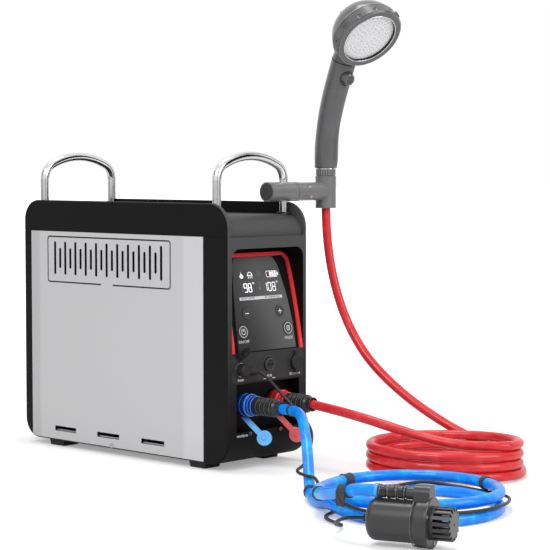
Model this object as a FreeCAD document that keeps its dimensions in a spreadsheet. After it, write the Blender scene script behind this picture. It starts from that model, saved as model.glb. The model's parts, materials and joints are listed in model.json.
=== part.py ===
import FreeCAD, Part

# Portable propane water heater: a carry case with a curved control console, two quick couplers,
# a hand shower on a clamp-on holder and a submersible pump, all joined by coiled hoses.
# Millimetres. X is the width, the console faces -Y, +Z is up. The origin lies on the ground
# in the middle of the four feet.

import math
import os

import Sketcher
from FreeCAD import Placement, Rotation, Vector

DIMENSIONS = {
    # casing
    "case_width": (135.0, "outside width over the side panels"),
    "case_length": (364.0, "outside length, console face to rear face"),
    "case_bottom": (7.5, "underside of the casing above the ground"),
    "case_top": (310.0, "top edge of the cap walls"),
    "split_height": (271.3, "joint between the cap and the lower shells"),
    "wall": (2.5, "moulded and folded wall thickness"),
    "front_top_radius": (30.0, "corner radius, console side, top"),
    "front_bottom_radius": (28.0, "corner radius, console side, bottom"),
    "rear_radius": (25.0, "corner radius, rear side"),
    "side_edge_radius": (2.4, "rounding round both sides"),
    "front_strip": (40.0, "depth of the front shell"),
    "rear_strip": (14.0, "depth of the rear shell"),
    "shell_gap": (0.2, "joint gap between shells"),
    # top cap
    "cap_wall": (5.0, "thickness of the raised cap walls"),
    "cap_floor": (296.0, "top of the sunk cap floor"),
    "cap_sweep": (25.0, "radius where the cap floor turns down"),
    "cap_inset": (3.8, "how far the turned-down floor sits behind the face"),
    # handles
    "handle_reach": (153.5, "handle position along Y"),
    "handle_half": (56.75, "half spacing of the handle legs"),
    "handle_radius": (5.25, "handle bar radius"),
    "handle_top": (370.0, "top of the handle arch"),
    "handle_corner": (20.0, "centre line radius of the arch corners"),
    "handle_crown": (105.0, "centre line radius of the arch crown"),
    "handle_foot": (279.0, "lower end of the handle legs"),
    "nut_seat": (291.9, "lower face of the bosses that the handle nuts bear on"),
    # feet
    "foot_x": (50.0, "foot centre along X"),
    "foot_y": (126.5, "foot centre along Y"),
    "foot_width": (26.0, "foot size along X"),
    "foot_length": (27.0, "foot size along Y"),
    "foot_taper": (1.2, "foot side taper towards the ground"),
    # side panel vents
    "slot_width": (4.0, "exhaust slot width"),
    "slot_pitch": (19.3, "spacing between tall exhaust slots"),
    "slot_first": (-71.4, "first tall slot along Y"),
    "slot_middle": (238.0, "height of the exhaust slot row"),
    "tall_slot": (41.4, "tall slot height"),
    "short_slot": (25.6, "short slot height"),
    "tall_slots": (11, "number of tall slots"),
    "intake_slot_height": (6.2, "lower slot height"),
    "intake_slot_length": (40.0, "lower slot length"),
    "intake_slot_middle": (22.9, "height of the lower slots"),
    "intake_slot_pitch": (79.7, "spacing of the lower slots"),
    "intake_slot_first": (-55.6, "first lower slot along Y"),
    # console
    "console_half": (60.8, "half width of the console recess"),
    "console_bottom": (137.0, "lower edge of the console"),
    "console_top": (257.5, "upper edge of the console recess"),
    "console_radius": (667.0, "radius of the console surface"),
    "console_centre_y": (479.4, "centre of the console surface along Y"),
    "console_centre_z": (45.3, "centre of the console surface height"),
    "panel_thickness": (1.6, "control panel thickness"),
    "accent_half": (60.2, "outer half width of the accent strip"),
    "accent_width": (4.5, "accent strip width"),
    "accent_top": (251.0, "top of the accent strip"),
    "accent_corner": (13.0, "outer corner radius of the accent strip"),
    "accent_height": (2.6, "accent strip height above the console tray"),
    "arrow_x": (28.0, "plus and minus buttons along X"),
    "arrow_z": (181.6, "plus and minus button height"),
    "arrow_radius": (6.8, "plus and minus button radius"),
    "mode_x": (38.2, "power and mode buttons along X"),
    "mode_z": (161.0, "power and mode button height"),
    "mode_radius": (7.8, "power and mode button radius"),
    "button_gap": (0.35, "clearance round a button"),
    "button_proud": (0.9, "button height above the panel"),
    "button_depth": (5.5, "button depth below the panel"),
    # port plate and port recess
    "plate_bottom": (103.0, "lower edge of the port plate"),
    "plate_thickness": (3.0, "port plate thickness"),
    "recess_half": (53.5, "half width of the coupler recess"),
    "recess_bottom": (45.0, "floor of the coupler recess"),
    "recess_top": (101.0, "roof of the coupler recess"),
    "recess_depth": (17.5, "depth of the coupler recess"),
    "socket_x": (-47.5, "pump socket along X"),
    "socket_z": (118.0, "pump socket height"),
    "fuse_x": (0.5, "fuse holder along X"),
    "fuse_z": (121.0, "fuse holder height"),
    "charge_x": (46.6, "charging socket along X"),
    "charge_z": (120.0, "charging socket height"),
    # water ports
    "port_x": (27.0, "water ports along X"),
    "port_z": (75.0, "water port height"),
    "nipple_radius": (7.5, "nipple outside radius"),
    "tether_radius": (13.4, "tether ring outside radius"),
    "coupler_radius": (10.4, "coupler grip radius"),
    "coupler_end": (-227.0, "hose end of the couplers along Y"),
    "stopper_radius": (8.8, "tethered stopper radius"),
    # gas inlet
    "gas_z": (58.0, "gas inlet height"),
    "gas_thread_radius": (7.9, "gas inlet thread radius"),
    "gas_thread_length": (14.0, "gas inlet thread length"),
    # hand shower
    "shower_x": (133.4, "holder socket axis along X"),
    "holder_z": (322.0, "holder arm height"),
    "arm_radius": (11.7, "holder clamp radius"),
    "arm_end": (27.6, "free end of the holder clamp along X"),
    "socket_radius": (12.65, "holder socket radius"),
    "socket_bottom": (301.3, "holder socket lower end"),
    "socket_top": (340.4, "holder socket upper end"),
    "nut_radius": (11.6, "hose nut radius"),
    "nut_top": (350.2, "hose nut upper face"),
    "shower_turn": (-101.0, "heading of the hand shower about its holder, degrees"),
    "head_reach": (85.4, "spray face centre in front of the holder axis"),
    "head_height": (503.0, "spray face centre height"),
    "head_dip": (43.0, "how far the spray face looks down, degrees"),
    "bezel_radius": (42.6, "spray bezel radius"),
    "bezel_opening": (33.6, "spray bezel opening radius"),
    "bezel_depth": (13.0, "spray bezel depth"),
    "head_depth": (46.0, "hand shower head depth"),
    "stop_radius": (7.4, "stop button radius"),
    # pump
    "pump_x": (-232.0, "pump flange along X"),
    "pump_y": (-609.2, "pump flange along Y"),
    "pump_turn": (-70.7, "pump heading, degrees"),
    "flange_radius": (24.0, "pump flange radius"),
    "pump_radius": (20.0, "pump body radius"),
    "pump_length": (62.0, "pump body and collar length"),
    "collar_length": (17.0, "pump collar length"),
    "strainer_radius": (15.8, "strainer radius"),
    "strainer_length": (20.4, "strainer length"),
    "outlet_rise": (26.5, "pump outlet height above the pump axis"),
    # hoses and cable
    "red_radius": (5.5, "shower hose radius"),
    "blue_radius": (6.0, "supply hose radius"),
    "cable_radius": (1.75, "pump cable radius"),
}

doc = FreeCAD.newDocument("PortableWaterHeater")
sheet = doc.addObject("Spreadsheet::Sheet", "sizes")
for row, (alias, (amount, meaning)) in enumerate(DIMENSIONS.items(), start=1):
    sheet.set("A%d" % row, meaning)
    sheet.set("B%d" % row, str(amount))
    sheet.setAlias("B%d" % row, alias)
doc.recompute()


class Size:
    """A length that carries its value and the spreadsheet expression behind it."""

    def __init__(self, amount, expression):
        self.amount = float(amount)
        self.expression = expression

    def __float__(self):
        return self.amount

    def __add__(self, other):
        return Size(self.amount + float(other), "(%s + %s)" % (self.expression, written(other)))

    __radd__ = __add__

    def __sub__(self, other):
        return Size(self.amount - float(other), "(%s - %s)" % (self.expression, written(other)))

    def __rsub__(self, other):
        return Size(float(other) - self.amount, "(%s - %s)" % (written(other), self.expression))

    def __mul__(self, other):
        return Size(self.amount * float(other), "(%s * %s)" % (self.expression, written(other)))

    __rmul__ = __mul__

    def __truediv__(self, other):
        return Size(self.amount / float(other), "(%s / %s)" % (self.expression, written(other)))

    def __neg__(self):
        return Size(-self.amount, "(0 - %s)" % self.expression)


def written(amount):
    """The expression text of a size, or of a plain number."""
    return amount.expression if isinstance(amount, Size) else repr(float(amount))


def dim(alias):
    """A driving dimension, read back from the spreadsheet."""
    return Size(sheet.get(alias), "sizes." + alias)


def bind(item, name, amount):
    """Drive a property of an object from the spreadsheet."""
    item.setExpression(name, written(amount))


def put(item, at, direction=(0, 0, 1), roll=0):
    """Place an object: its Z axis turns to the direction and its origin goes to a bound point."""
    turn = Rotation(Vector(0, 0, 1), Vector(*direction)).multiply(Rotation(Vector(0, 0, 1), roll))
    item.Placement = Placement(Vector(*[float(value) for value in at]), turn)
    for axis, value in zip("xyz", at):
        if isinstance(value, Size):
            bind(item, "Placement.Base." + axis, value)
    return item


# ---------------------------------------------------------------- building blocks

def box(name, x, y, z):
    """A block between two limits along each axis."""
    item = doc.addObject("Part::Box", name)
    for side, (low, high) in zip(("Length", "Width", "Height"), (x, y, z)):
        bind(item, side, high - low)
    return put(item, (x[0], y[0], z[0]))


def cylinder(name, radius, length, at, direction=(0, 0, 1)):
    """A round bar that starts at a point and runs along a direction."""
    item = doc.addObject("Part::Cylinder", name)
    bind(item, "Radius", radius)
    bind(item, "Height", length)
    return put(item, at, direction)


def cone(name, start_radius, end_radius, length, at, direction=(0, 0, 1)):
    """A tapered bar that starts at a point and runs along a direction."""
    item = doc.addObject("Part::Cone", name)
    bind(item, "Radius1", start_radius)
    bind(item, "Radius2", end_radius)
    bind(item, "Height", length)
    return put(item, at, direction)


def fuse(name, *pieces):
    """One solid made of several."""
    item = doc.addObject("Part::MultiFuse", name)
    item.Shapes = list(pieces)
    return item


def cut(name, base, *tools):
    """The base with every tool taken out of it."""
    item = doc.addObject("Part::Cut", name)
    item.Base = base
    item.Tool = tools[0] if len(tools) == 1 else fuse(name + "_tools", *tools)
    return item


def common(name, base, tool):
    """What two solids share."""
    item = doc.addObject("Part::Common", name)
    item.Base = base
    item.Tool = tool
    return item


def group(name, *pieces):
    """Separate solids kept together in one object."""
    item = doc.addObject("Part::Compound", name)
    item.Links = list(pieces)
    return item


def sketch_on(body, name, plane, offset=0):
    """A sketch on one of the origin planes of its body, moved along the plane's normal."""
    sketch = body.newObject("Sketcher::SketchObject", name)
    support = [feature for feature in body.Origin.OriginFeatures if feature.Role == plane][0]
    sketch.AttachmentSupport = [(support, "")]
    sketch.MapMode = "FlatFace"
    bind(sketch, "AttachmentOffset.Base.z", offset)
    return sketch


def pin_down(sketch, edge, end, point):
    """Fix one end of a sketch edge at bound coordinates."""
    for kind, value in zip(("DistanceX", "DistanceY"), point):
        index = sketch.addConstraint(Sketcher.Constraint(kind, -1, 1, edge, end, float(value)))
        if isinstance(value, Size):
            sketch.setExpression("Constraints[%d]" % index, written(value))


def outline(sketch, corners):
    """A closed outline. A corner is (x, y), or (x, y, (mx, my)) when an arc leads to it."""
    flat = [Vector(float(corner[0]), float(corner[1]), 0) for corner in corners]
    ends = []
    for number, corner in enumerate(corners):
        start = flat[number - 1]
        if len(corner) == 3:
            middle = Vector(float(corner[2][0]), float(corner[2][1]), 0)
            curve = Part.Arc(start, middle, flat[number])
            edge = sketch.addGeometry(curve)
            radius = sketch.Geometry[edge].Radius
            half_turn = start.distanceToPoint(flat[number]) / 2 > radius - 1e-4
            if not half_turn:
                sketch.addConstraint(Sketcher.Constraint("Radius", edge, radius))
        else:
            edge = sketch.addGeometry(Part.LineSegment(start, flat[number]))
        first = 1 if sketch.getPoint(edge, 1).distanceToPoint(start) < 1e-6 else 2
        ends.append((edge, first, 3 - first))
    for number, (edge, first, last) in enumerate(ends):
        previous = ends[number - 1]
        sketch.addConstraint(Sketcher.Constraint("Coincident", previous[0], previous[2], edge, first))
        pin_down(sketch, edge, last, corners[number][:2])


def circle(sketch, centre, radius):
    """A bound circle."""
    middle = Vector(float(centre[0]), float(centre[1]), 0)
    edge = sketch.addGeometry(Part.Circle(middle, Vector(0, 0, 1), float(radius)))
    index = sketch.addConstraint(Sketcher.Constraint("Radius", edge, float(radius)))
    if isinstance(radius, Size):
        sketch.setExpression("Constraints[%d]" % index, written(radius))
    pin_down(sketch, edge, 3, centre)


def pad(body, name, sketch, length):
    """Raise a sketch along the normal of its plane."""
    feature = body.newObject("PartDesign::Pad", name)
    feature.Profile = sketch
    bind(feature, "Length", length)
    return feature


def extruded(name, plane, corners, low, high):
    """A body padded between two positions along the axis that is normal to its plane."""
    body = doc.addObject("PartDesign::Body", name)
    start = -high if plane == "XZ_Plane" else low
    sketch = sketch_on(body, name + "_outline", plane, start)
    outline(sketch, corners)
    pad(body, name + "_pad", sketch, high - low)
    return body


def revolved(name, corners, at=(0, 0, 0), direction=(0, 0, 1)):
    """A body turned from a half section of (radius, height) corners about its own Z axis."""
    body = doc.addObject("PartDesign::Body", name)
    sketch = sketch_on(body, name + "_section", "XZ_Plane")
    outline(sketch, corners)
    turn = body.newObject("PartDesign::Revolution", name + "_turn")
    turn.Profile = sketch
    turn.ReferenceAxis = (sketch, ["V_Axis"])
    turn.Angle = 360
    return put(body, at, direction)


def pocket(body, name, sketch, length, reverse=False):
    """Cut a sketch into the body below it."""
    feature = body.newObject("PartDesign::Pocket", name)
    feature.Profile = sketch
    feature.Reversed = reverse
    bind(feature, "Length", length)
    return feature


def repeat_round(body, name, feature, axis_sketch, count):
    """Repeat a feature round the normal of a sketch."""
    pattern = body.newObject("PartDesign::PolarPattern", name)
    pattern.Originals = [feature]
    pattern.Axis = (axis_sketch, ["N_Axis"])
    pattern.Angle = 360
    pattern.Occurrences = count
    body.Tip = pattern
    return pattern


def repeat_along(body, name, feature, sketch, length, count):
    """Repeat a feature along the first axis of a sketch."""
    pattern = body.newObject("PartDesign::LinearPattern", name)
    pattern.Originals = [feature]
    pattern.Direction = (sketch, ["H_Axis"])
    bind(pattern, "Length", length)
    pattern.Occurrences = count
    body.Tip = pattern
    return pattern


def upright_slot(middle_x, middle_z, width, height):
    """Corners of a slot with two round ends, long along the second axis."""
    half = width / 2
    top = middle_z + (height - width) / 2
    bottom = middle_z - (height - width) / 2
    crown = (middle_x, top + half)
    keel = (middle_x, bottom - half)
    left, right = middle_x - half, middle_x + half
    return [(left, bottom, keel), (left, top), (right, top, crown), (right, bottom)]


# ---------------------------------------------------------------- paths of round section

def rounded_path(points, sharpness=0.45):
    """Straight runs joined by tangent arcs, each as large as its two runs allow."""
    spots = [Vector(*[float(value) for value in point]) for point in points]
    edges = []
    radii = []
    here = spots[0]
    for before, corner, after in zip(spots, spots[1:], spots[2:]):
        arriving = (corner - before).normalize()
        leaving = (after - corner).normalize()
        half_turn = arriving.getAngle(leaving) / 2
        reach = sharpness * min((corner - before).Length, (after - corner).Length)
        radii.append(reach / math.tan(half_turn))
        start = corner - arriving * reach
        end = corner + leaving * reach
        inward = (leaving - arriving).normalize()
        middle = corner + inward * (radii[-1] * (1 / math.cos(half_turn) - 1))
        edges.append(Part.LineSegment(here, start).toShape())
        edges.append(Part.Arc(start, middle, end).toShape())
        here = end
    edges.append(Part.LineSegment(here, spots[-1]).toShape())
    return Part.Wire(edges), radii


def round_tube(name, points, radius, bore=0):
    """A round bar or pipe that follows a rounded path."""
    wire, radii = rounded_path(points)
    first = wire.Edges[0]
    start = first.Vertexes[0].Point
    heading = first.tangentAt(first.FirstParameter)

    def swept(section_radius):
        ring = Part.Wire(Part.makeCircle(section_radius, start, heading))
        return wire.makePipeShell([ring], True, False)

    solid = swept(float(radius))
    if bore:
        solid = solid.cut(swept(float(bore)))
    section = math.pi * (float(radius) ** 2 - float(bore) ** 2)
    print("%-18s length %7.1f  least radius %5.1f  volume ratio %.4f"
          % (name, wire.Length, min(radii), solid.Volume / (section * wire.Length)))
    item = doc.addObject("Part::Feature", name)
    item.Shape = solid
    return item


# ---------------------------------------------------------------- casing

half_width = dim("case_width") / 2
front = -dim("case_length") / 2
rear = dim("case_length") / 2
bottom = dim("case_bottom")
top = dim("case_top")
wall = dim("wall")
split = dim("split_height")
gap = dim("shell_gap")
strip_edge = front + dim("front_strip")
rear_edge = rear - dim("rear_strip")
DIAGONAL = 1 - math.sqrt(0.5)


def casing_block(name, inset):
    """The casing's rounded block, drawn in from the outside by an inset."""
    low_y, high_y = front + inset, rear - inset
    low_z, high_z = bottom + inset, top - inset
    top_front = dim("front_top_radius") - inset
    bottom_front = dim("front_bottom_radius") - inset
    back = dim("rear_radius") - inset
    corners = [
        (low_y + bottom_front, low_z),
        (high_y - back, low_z),
        (high_y, low_z + back, (high_y - back * DIAGONAL, low_z + back * DIAGONAL)),
        (high_y, high_z - back),
        (high_y - back, high_z, (high_y - back * DIAGONAL, high_z - back * DIAGONAL)),
        (low_y + top_front, high_z),
        (low_y, high_z - top_front, (low_y + top_front * DIAGONAL, high_z - top_front * DIAGONAL)),
        (low_y, low_z + bottom_front),
    ]
    keel = (low_y + bottom_front * DIAGONAL, low_z + bottom_front * DIAGONAL)
    corners[0] = (low_y + bottom_front, low_z, keel)
    return extruded(name, "YZ_Plane", corners, inset - half_width, half_width - inset)


def casing_form():
    """The outside form with its side edges rounded."""
    body = casing_block("outer_form", wall * 0)
    doc.recompute()
    block = body.Tip
    limit = float(half_width) - 0.01
    rims = [
        "Edge%d" % (number + 1)
        for number, edge in enumerate(block.Shape.Edges)
        if all(abs(vertex.Point.x) > limit for vertex in edge.Vertexes)
        and abs(edge.BoundBox.XLength) < 0.01
    ]
    rounding = body.newObject("PartDesign::Fillet", "side_rounding")
    rounding.Base = (block, rims)
    bind(rounding, "Radius", dim("side_edge_radius"))
    return body


def console_arc(offset, low_z, high_z):
    """Three points on the console surface, moved out of the case by an offset."""
    centre_y = float(dim("console_centre_y"))
    centre_z = float(dim("console_centre_z"))
    radius = float(dim("console_radius") + offset)
    spots = []
    for height in (low_z, (low_z + high_z) / 2, high_z):
        spots.append((centre_y - math.sqrt(radius ** 2 - (height - centre_z) ** 2), height))
    return spots


def console_layer(name, inner, outer, half, low_z, high_z):
    """A layer of the console between two offsets of its curved surface."""
    near = console_arc(outer, low_z, high_z)
    far = console_arc(inner, low_z, high_z)
    corners = [far[0], near[0], (near[2][0], near[2][1], near[1]), far[2]]
    corners[0] = (far[0][0], far[0][1], far[1])
    return extruded(name, "YZ_Plane", corners, -half, half)


def console_frame(height):
    """Surface point and outward normal of the console at a height."""
    spot = console_arc(0, height, height + 1)[0]
    rise = (height - float(dim("console_centre_z"))) / float(dim("console_radius"))
    return spot, (0, -math.sqrt(1 - rise ** 2), rise)


BUTTONS = {
    "minus_button": (-dim("arrow_x"), dim("arrow_z"), dim("arrow_radius")),
    "plus_button": (dim("arrow_x"), dim("arrow_z"), dim("arrow_radius")),
    "power_button": (-dim("mode_x"), dim("mode_z"), dim("mode_radius")),
    "mode_button": (dim("mode_x"), dim("mode_z"), dim("mode_radius")),
}


def button_bores(name):
    """Clearance bores for the four buttons, square to the console surface."""
    bores = []
    for button, (x, z, radius) in BUTTONS.items():
        spot, normal = console_frame(float(z))
        start = (x, spot[0] - 8 * normal[1], float(z) - 8 * normal[2])
        bore = cylinder(button + "_" + name, radius + dim("button_gap"), 16, start, normal)
        bores.append(bore)
    return fuse(name, *bores)


def front_housing(form, core):
    """Moulded front shell with the console tray, the plate opening and the coupler recess."""
    strip = box("front_strip_zone", (-half_width, half_width), (front, strip_edge - gap),
                (bottom, split - gap))
    shell = cut("front_shell", common("front_slice", form, strip), core)
    console_half = dim("console_half")
    tray_bottom, tray_top = dim("console_bottom"), dim("console_top")
    side = 2.0
    window = box("console_window", (-console_half, console_half), (front - 1, front + 40),
                 (dim("plate_bottom") - 0.2, tray_top))
    tray = console_layer("console_tray", -4.1, -dim("panel_thickness"), console_half + side,
                         float(tray_bottom), float(tray_top) + side)
    cheeks = []
    for number, edge in enumerate((-console_half - side, console_half)):
        cheek = box("cheek_%d" % number, (edge, edge + side), (front + 1, front + 32),
                    (tray_bottom, tray_top + side))
        cheeks.append(cheek)
    roof = box("console_roof", (-console_half - side, console_half + side), (front + 1, front + 32),
               (tray_top, tray_top + side))
    recess_half = dim("recess_half")
    low, high = dim("recess_bottom"), dim("recess_top")
    back = front + dim("recess_depth")
    well = box("recess_well", (-recess_half - side, recess_half + side), (front + 1, back + side),
               (low - side, high + side))
    hollow = box("recess_hollow", (-recess_half, recess_half), (front - 1, back), (low, high))
    ledge = box("plate_ledge", (-console_half - side, console_half + side),
                (front + dim("plate_thickness") + 0.2, front + dim("plate_thickness") + 2.2),
                (dim("plate_bottom") - 1.8, tray_bottom + 1.5))
    ports = []
    for side_sign in (-1, 1):
        at = (dim("port_x") * side_sign, back - 1, dim("port_z"))
        ports.append(cylinder("port_hole_%d" % (side_sign + 1), 6.3, side + 2, at, (0, 1, 0)))
    behind = [
        cylinder("socket_hole", 6.2, 8, (dim("socket_x"), front + 1, dim("socket_z")), (0, 1, 0)),
        cylinder("fuse_hole", 6.2, 8, (dim("fuse_x"), front + 1, dim("fuse_z")), (0, 1, 0)),
        cylinder("charge_hole", 6.2, 8, (dim("charge_x"), front + 1, dim("charge_z")), (0, 1, 0)),
    ]
    opened = cut("opened_shell", shell, window)
    joined = fuse("joined_front", opened, tray, *cheeks, roof, well, ledge)
    return cut("front_housing", joined, hollow, button_bores("tray_bores"), *ports, *behind)


def rear_cover(form, core):
    """Rear shell with the air intake louvres and the gas inlet hole."""
    zone = box("rear_zone", (-half_width, half_width), (rear_edge + gap, rear),
               (bottom, split - gap))
    shell = cut("rear_shell", common("rear_slice", form, zone), core)
    louvre = extruded("rear_louvres", "XZ_Plane",
                      upright_slot(-42.0, 200.0, 4.0, 56.0), rear - 6, rear + 2)
    louvre_sketch = louvre.Group[0]
    doc.recompute()
    repeat_along(louvre, "louvre_row", louvre.Tip, louvre_sketch, 84, 11)
    hole = cylinder("gas_hole", dim("gas_thread_radius") + 0.1, 8, (0, rear - 6, dim("gas_z")),
                    (0, 1, 0))
    return cut("rear_cover", shell, louvre, hole)


def base_pan(form, core):
    """Folded tray between the side panels, with air slots in its floor."""
    inner = half_width - wall - gap
    low_y, high_y = strip_edge + gap, rear_edge - gap
    flange = 14.0
    zone = box("pan_zone", (-inner, inner), (low_y, high_y), (bottom, bottom + 6))
    floor = cut("pan_floor", common("pan_slice", form, zone), core)
    sides = []
    for number, edge in enumerate((-inner, inner - 1.5)):
        sides.append(box("pan_side_%d" % number, (edge, edge + 1.5), (low_y, high_y - 16),
                         (bottom + 1, bottom + flange)))
    body = fuse("pan_blank", floor, *sides)
    slots = []
    for number in range(7):
        x = -36.0 + 12.0 * number
        slots.append(box("pan_slot_%d" % number, (x - 2.0, x + 2.0), (-dim("foot_y") + 40, 10.0),
                         (bottom - 1, bottom + wall + 1)))
    return cut("base_pan", body, *slots)


def side_panel(name, side, form):
    """Flush outer panel with the exhaust grille and three lower slots."""
    low_x, high_x = (half_width - wall, half_width) if side > 0 else (-half_width, wall - half_width)
    low_y, high_y = strip_edge + gap, rear_edge - gap
    corners = [(low_y, bottom - 1), (high_y, bottom - 1), (high_y, split - gap), (low_y, split - gap)]
    body = extruded(name + "_blank", "YZ_Plane", corners, low_x, high_x)
    doc.recompute()
    pitch = dim("slot_pitch")
    tall_count = int(float(dim("tall_slots")))
    rows = (
        ("tall", dim("slot_first"), dim("slot_middle"), dim("slot_width"), dim("tall_slot"),
         pitch, tall_count),
        ("short", dim("slot_first") + pitch / 2, dim("slot_middle"), dim("slot_width"),
         dim("short_slot"), pitch, tall_count - 1),
    )
    for row, first, middle, width, height, step, count in rows:
        sketch = sketch_on(body, "%s_%s_slot" % (name, row), "YZ_Plane", high_x)
        outline(sketch, upright_slot(first, middle, width, height))
        slot = pocket(body, "%s_%s_pocket" % (name, row), sketch, wall)
        repeat_along(body, "%s_%s_row" % (name, row), slot, sketch, step * (count - 1), count)
    sketch = sketch_on(body, name + "_intake_slot", "YZ_Plane", high_x)
    half_length = dim("intake_slot_length") / 2
    half_height = dim("intake_slot_height") / 2
    first, middle = dim("intake_slot_first"), dim("intake_slot_middle")
    outline(sketch, [
        (first - half_length, middle - half_height), (first + half_length, middle - half_height),
        (first + half_length, middle + half_height), (first - half_length, middle + half_height),
    ])
    slot = pocket(body, name + "_intake_pocket", sketch, wall)
    repeat_along(body, name + "_intake_row", slot, sketch, dim("intake_slot_pitch") * 2, 3)
    return common(name, form, body)


def cap_profile(drop):
    """Section of the sunk cap floor along the case, lowered by a drop."""
    floor = dim("cap_floor") - drop
    sweep = dim("cap_sweep") - drop
    low_y, high_y = front + dim("cap_inset") + drop, rear - dim("cap_inset") - drop
    base = split - gap
    shoulder = dim("cap_floor") - dim("cap_sweep")
    return low_y, high_y, base, shoulder, floor, sweep


def top_cap(form):
    """Black top moulding: two raised walls and a sunk floor that turns down at both ends."""
    zone = box("cap_zone", (-half_width, half_width), (front, rear), (split, top))
    blank = common("cap_blank", form, zone)
    inner = half_width - dim("cap_wall")
    low_y, high_y, base, shoulder, floor, sweep = cap_profile(wall * 0)
    lift = top + 10
    sunk = [
        (front - 10, lift), (front - 10, base), (low_y, base), (low_y, shoulder),
        (low_y + sweep, floor, (low_y + sweep * DIAGONAL, floor - sweep * DIAGONAL)),
        (high_y - sweep, floor),
        (high_y, shoulder, (high_y - sweep * DIAGONAL, floor - sweep * DIAGONAL)),
        (high_y, base), (rear + 10, base), (rear + 10, lift),
    ]
    trough = extruded("cap_trough", "YZ_Plane", sunk, -inner, inner)
    low_y, high_y, base, shoulder, floor, sweep = cap_profile(wall)
    hollow = [
        (low_y, base - 1), (low_y, shoulder),
        (low_y + sweep, floor, (low_y + sweep * DIAGONAL, floor - sweep * DIAGONAL)),
        (high_y - sweep, floor),
        (high_y, shoulder, (high_y - sweep * DIAGONAL, floor - sweep * DIAGONAL)),
        (high_y, base - 1),
    ]
    underside = extruded("cap_underside", "YZ_Plane", hollow, wall - half_width, half_width - wall)
    bosses, bores = [], []
    for key, x, y in handle_legs():
        bosses.append(cylinder("leg_boss_" + key, 8.6, 2.1, (x, y, dim("nut_seat"))))
        bores.append(cylinder("leg_bore_" + key, dim("handle_radius") + 0.1, 12, (x, y, floor - 5)))
    shell = fuse("cap_shell", cut("cap_moulding", blank, trough, underside), *bosses)
    return cut("top_cap", shell, *bores)


def handle_legs():
    """A short key and the plan position of each handle leg."""
    return [("%d%d" % (x_sign + 1, y_sign + 1), dim("handle_half") * x_sign,
             dim("handle_reach") * y_sign) for x_sign in (-1, 1) for y_sign in (-1, 1)]


def handle(name, y_sign):
    """Bright bar bent into an arch, with straight legs through the cap floor."""
    half, corner, crown = (float(dim(key)) for key in
                           ("handle_half", "handle_corner", "handle_crown"))
    foot = float(dim("handle_foot"))
    crown_z = float(dim("handle_top")) - float(dim("handle_radius")) - crown
    spring_z = crown_z + math.sqrt((crown - corner) ** 2 - (half - corner) ** 2)
    turn = math.atan2(spring_z - crown_z, half - corner)

    def on_arc(centre_x, centre_z, radius, angle):
        return Vector(centre_x + radius * math.cos(angle), 0, centre_z + radius * math.sin(angle))

    right = [on_arc(half - corner, spring_z, corner, angle) for angle in (0, turn / 2, turn)]
    middle = on_arc(0, crown_z, crown, math.pi / 2)
    left = [Vector(-spot.x, 0, spot.z) for spot in right]
    path = Part.Wire([
        Part.LineSegment(Vector(half, 0, foot), right[0]).toShape(),
        Part.Arc(*right).toShape(),
        Part.Arc(right[2], middle, left[2]).toShape(),
        Part.Arc(left[2], left[1], left[0]).toShape(),
        Part.LineSegment(left[0], Vector(-half, 0, foot)).toShape(),
    ])
    spine = doc.addObject("Part::Feature", name + "_path")
    spine.Shape = path
    section = doc.addObject("Part::Circle", name + "_section")
    bind(section, "Radius", dim("handle_radius"))
    put(section, (dim("handle_half"), 0, dim("handle_foot")))
    sweep = doc.addObject("Part::Sweep", name)
    sweep.Sections = [section]
    sweep.Spine = (spine, ["Edge%d" % (number + 1) for number in range(5)])
    sweep.Solid = True
    return put(sweep, (0, dim("handle_reach") * y_sign, 0))


def handle_nuts():
    """Four hexagon nuts on the handle legs, against the bosses under the cap floor."""
    nuts = []
    across, height = 13.0, 6.0
    for key, x, y in handle_legs():
        at = (x, y, dim("nut_seat") - height)
        prism = doc.addObject("Part::Prism", "leg_hexagon_" + key)
        prism.Polygon = 6
        prism.Circumradius = across / math.sqrt(3)
        prism.Height = height
        put(prism, at)
        bore = cylinder("leg_nut_bore_" + key, dim("handle_radius") + 0.1, height, at)
        nuts.append(cut("leg_nut_" + key, prism, bore))
    return group("handle_nuts", *nuts)


def feet():
    """Four rubber blocks that narrow towards the ground."""
    blocks = []
    taper = dim("foot_taper")
    for x_sign in (-1, 1):
        for y_sign in (-1, 1):
            block = doc.addObject("Part::Wedge", "foot_%d%d" % (x_sign + 1, y_sign + 1))
            block.Xmin, block.Zmin = 0, 0
            bind(block, "Ymax", bottom)
            block.Ymin = 0
            bind(block, "X2min", taper * 0)
            bind(block, "Xmin", taper)
            bind(block, "Xmax", dim("foot_width") - taper)
            bind(block, "X2max", dim("foot_width"))
            bind(block, "Z2min", taper * 0)
            bind(block, "Zmin", taper)
            bind(block, "Zmax", dim("foot_length") - taper)
            bind(block, "Z2max", dim("foot_length"))
            at = (dim("foot_x") * x_sign - dim("foot_width") / 2,
                  dim("foot_y") * y_sign + dim("foot_length") / 2, 0.0)
            block.Placement = Placement(Vector(*[float(value) for value in at]),
                                        Rotation(Vector(1, 0, 0), 90))
            bind(block, "Placement.Base.x", at[0])
            bind(block, "Placement.Base.y", at[1])
            blocks.append(block)
    return group("feet", *blocks)


# ---------------------------------------------------------------- console pieces

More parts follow.
